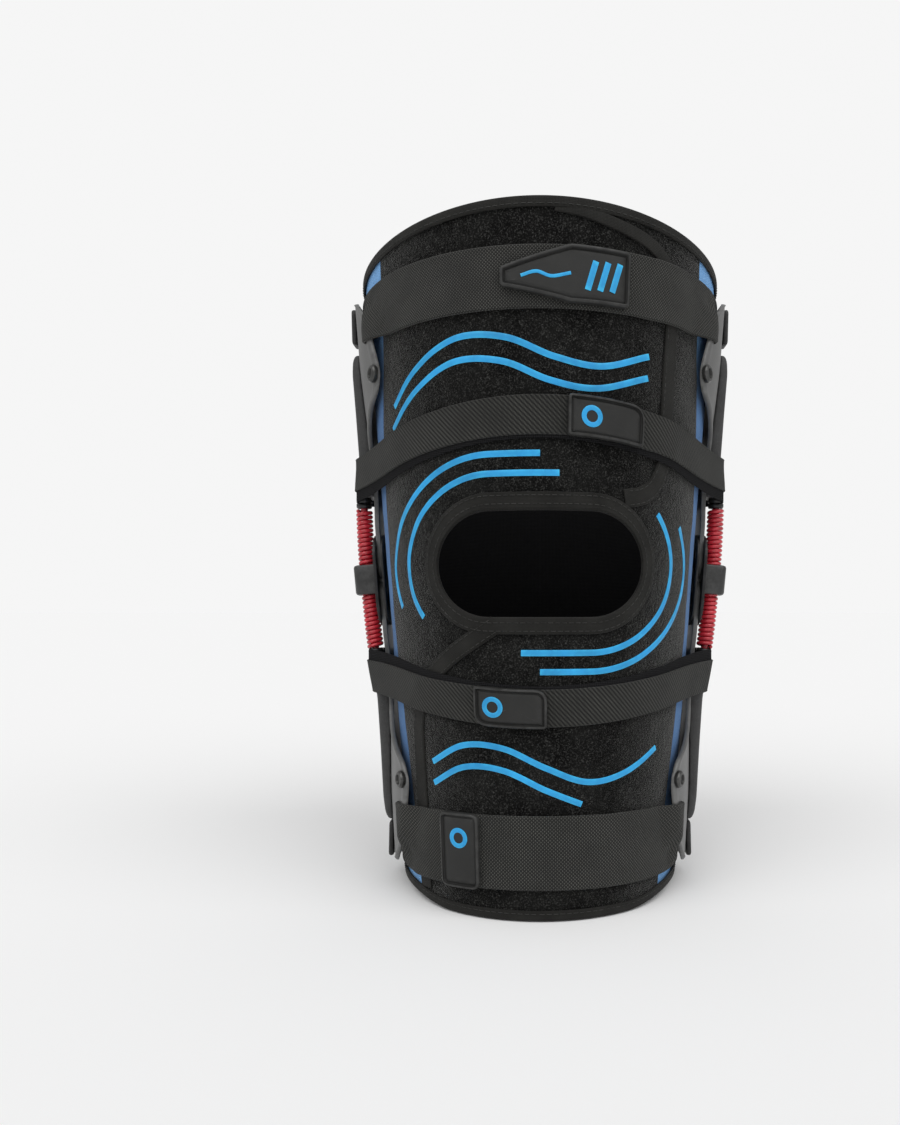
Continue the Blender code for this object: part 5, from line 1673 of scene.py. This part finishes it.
def webbing_material(weave, wear_and_highlight, name, pitch, radius, repeat, tone):
    fixed = {"Sheen_Weight": 0.05, "Sheen_Roughness": 0.45, "Specular_IOR_Level": 0.2}
    material, tree, shader = new_material(name, (tone, tone, tone * 0.93), 0.8, **fixed)
    threads = place_group(tree, weave, pitch=pitch, radius=radius, repeat=repeat, slant=1.0)
    light, dull = (tone * 2.9, tone * 2.88, tone * 2.6, 1), (tone * 0.62, tone * 0.62, tone * 0.58, 1)
    worn_and_lit, dark = (tone * 2.2, tone * 2.2, tone * 2.1, 1), (tone * 0.06, tone * 0.10, tone * 0.09, 1)
    shaded = blend_colours(tree, threads["Thread"], dull, light)
    where = tree.nodes.new("ShaderNodeTexCoord").outputs["Object"]
    cloud = fade(tree, noise_node(tree, where, 70.0, 3.0), 0.35, 0.7, 0.0, 0.4)
    shaded = blend_colours(tree, cloud, shaded, (tone * 0.7, tone * 0.7, tone * 0.66, 1))
    # Lighter edges: partly rubbed wear, partly painted highlight
    rubbed_and_lit = math_node(tree, "MULTIPLY", place_group(tree, wear_and_highlight)["Rubbed and lit"], 0.5)
    shaded = blend_colours(tree, rubbed_and_lit, shaded, worn_and_lit)
    # Painted shade between the webbing's threads
    plug(tree, shader["Base Color"], blend_colours(tree, threads["Gap shade"], shaded, dark))
    plug(tree, shader["Normal"], bump(tree, threads["Height"], pitch * 0.5))
    return material


def moulded_material(grain, wear_and_highlight, name, colour, roughness, grain_size, depth, speck, coat, metallic):
    fixed = {"Specular_IOR_Level": 0.3, "Coat_Weight": coat, "Coat_Roughness": 0.25, "Metallic": metallic}
    material, tree, shader = new_material(name, colour, roughness, **fixed)
    surface = place_group(tree, grain, grain_size=grain_size)
    worn_and_lit = place_group(tree, wear_and_highlight)
    base = (*colour, 1.0)
    lighter = (*(min(value * 1.9 + 0.02, 1.0) for value in colour), 1.0)
    darker = (*(value * 0.72 for value in colour), 1.0)
    tone = blend_colours(tree, fade(tree, surface["Cloud"], 0.35, 0.7), darker, base)
    tone = blend_colours(tree, math_node(tree, "MULTIPLY", surface["Specks"], speck), tone, lighter)
    # Lighter edges: partly rubbed wear, partly painted highlight
    tone = blend_colours(tree, math_node(tree, "MULTIPLY", worn_and_lit["Rubbed and lit"], 0.55), tone, lighter)
    plug(tree, shader["Base Color"], tone)
    rough = math_node(tree, "MULTIPLY_ADD", surface["Cloud"], 0.25, roughness - 0.12)
    plug(tree, shader["Roughness"], math_node(tree, "MULTIPLY_ADD", worn_and_lit["Rubbed and lit"], -0.12, rough, clamp=True))
    plug(tree, shader["Normal"], bump(tree, surface["Height"], depth))
    return material


def make_finishes():
    weave, loops, grain, wear_and_highlight = weave_group(), plush_group(), grain_group(), wear_and_highlight_group()
    finishes = {
        "plush": plush_material(loops),
        "blue_cloth": blue_material(weave),
        "lining": lining_material(weave),
        "tape": tape_material(weave),
    }
    for strap, webbing in WEBBINGS.items():
        finishes[strap] = webbing_material(weave, wear_and_highlight, *webbing)
    for key, moulding in MOULDINGS.items():
        finishes[key] = moulded_material(grain, wear_and_highlight, *moulding)
    return finishes


def make_stage():
    """A pale floor that runs into a background of the same brightness, and two soft lamps high in front."""
    floor_material, _, _ = new_material("studio_floor", (FLOOR_TONE,) * 3, 1.0, Specular_IOR_Level=0.0)
    shape = bmesh.new()
    bmesh.ops.create_grid(shape, x_segments=1, y_segments=1, size=FLOOR_SIZE)
    floor = bpy.data.objects.new("floor", mesh_from("floor", shape))
    floor.data.materials.append(floor_material)
    bpy.context.scene.collection.objects.link(floor)
    floor.location = (0.0, 0.0, -FLOOR_DROP)
    world = bpy.data.worlds.new("studio")
    bpy.context.scene.world = world
    world.use_nodes = True
    tree = world.node_tree
    seen = tree.nodes.new("ShaderNodeLightPath").outputs["Is Camera Ray"]
    background = tree.nodes["Background"]
    background.inputs["Color"].default_value = (1.0, 1.0, 1.0, 1.0)
    plug(tree, background.inputs["Strength"], fade(tree, seen, 0.0, 1.0, SKY_LIGHT, SKY_SEEN))
    for name, turn in KEY_LAMPS:
        light = bpy.data.lights.new(name, "SUN")
        light.angle = KEY_SPREAD
        light.energy = KEY_STRENGTH
        lamp = bpy.data.objects.new(name, light)
        way = polar(turn, 1.0, 0.0) + Vector((0.0, 0.0, 1.0))
        lamp.rotation_euler = way.to_track_quat("Z", "Y").to_euler()
        bpy.context.scene.collection.objects.link(lamp)


def make_camera():
    """The photograph's view: the eye a little below the brace's middle, close in front of it."""
    lens = bpy.data.cameras.new("photo_camera")
    lens.lens = LENS_LENGTH
    lens.sensor_width = SENSOR_WIDTH
    lens.shift_x, lens.shift_y = LENS_SHIFT
    lens.clip_start = CLIP_START
    camera = bpy.data.objects.new("photo_camera", lens)
    camera.location = CAMERA_PLACE
    camera.rotation_euler = (pi / 2, 0.0, 0.0)
    bpy.context.scene.collection.objects.link(camera)
    bpy.context.scene.camera = camera


finishes = make_finishes()
strap_faces = {name: strap_surface(name) for name in STRAPS}
make_camera()
make_stage()
make_sleeve(finishes)
make_edge_bindings(finishes)
make_opening_binding(finishes)
make_flap_tapes(finishes)
make_printed_lines(finishes)
make_straps(finishes, strap_faces)
make_strap_shade_strips(finishes, strap_faces)
make_tabs(finishes, strap_faces)
make_frames(finishes)
make_hinges(finishes)
make_springs(finishes)
make_housings(finishes)
make_lugs(finishes)
make_end_tabs(finishes)
bpy.context.scene.view_settings.view_transform = "Standard"
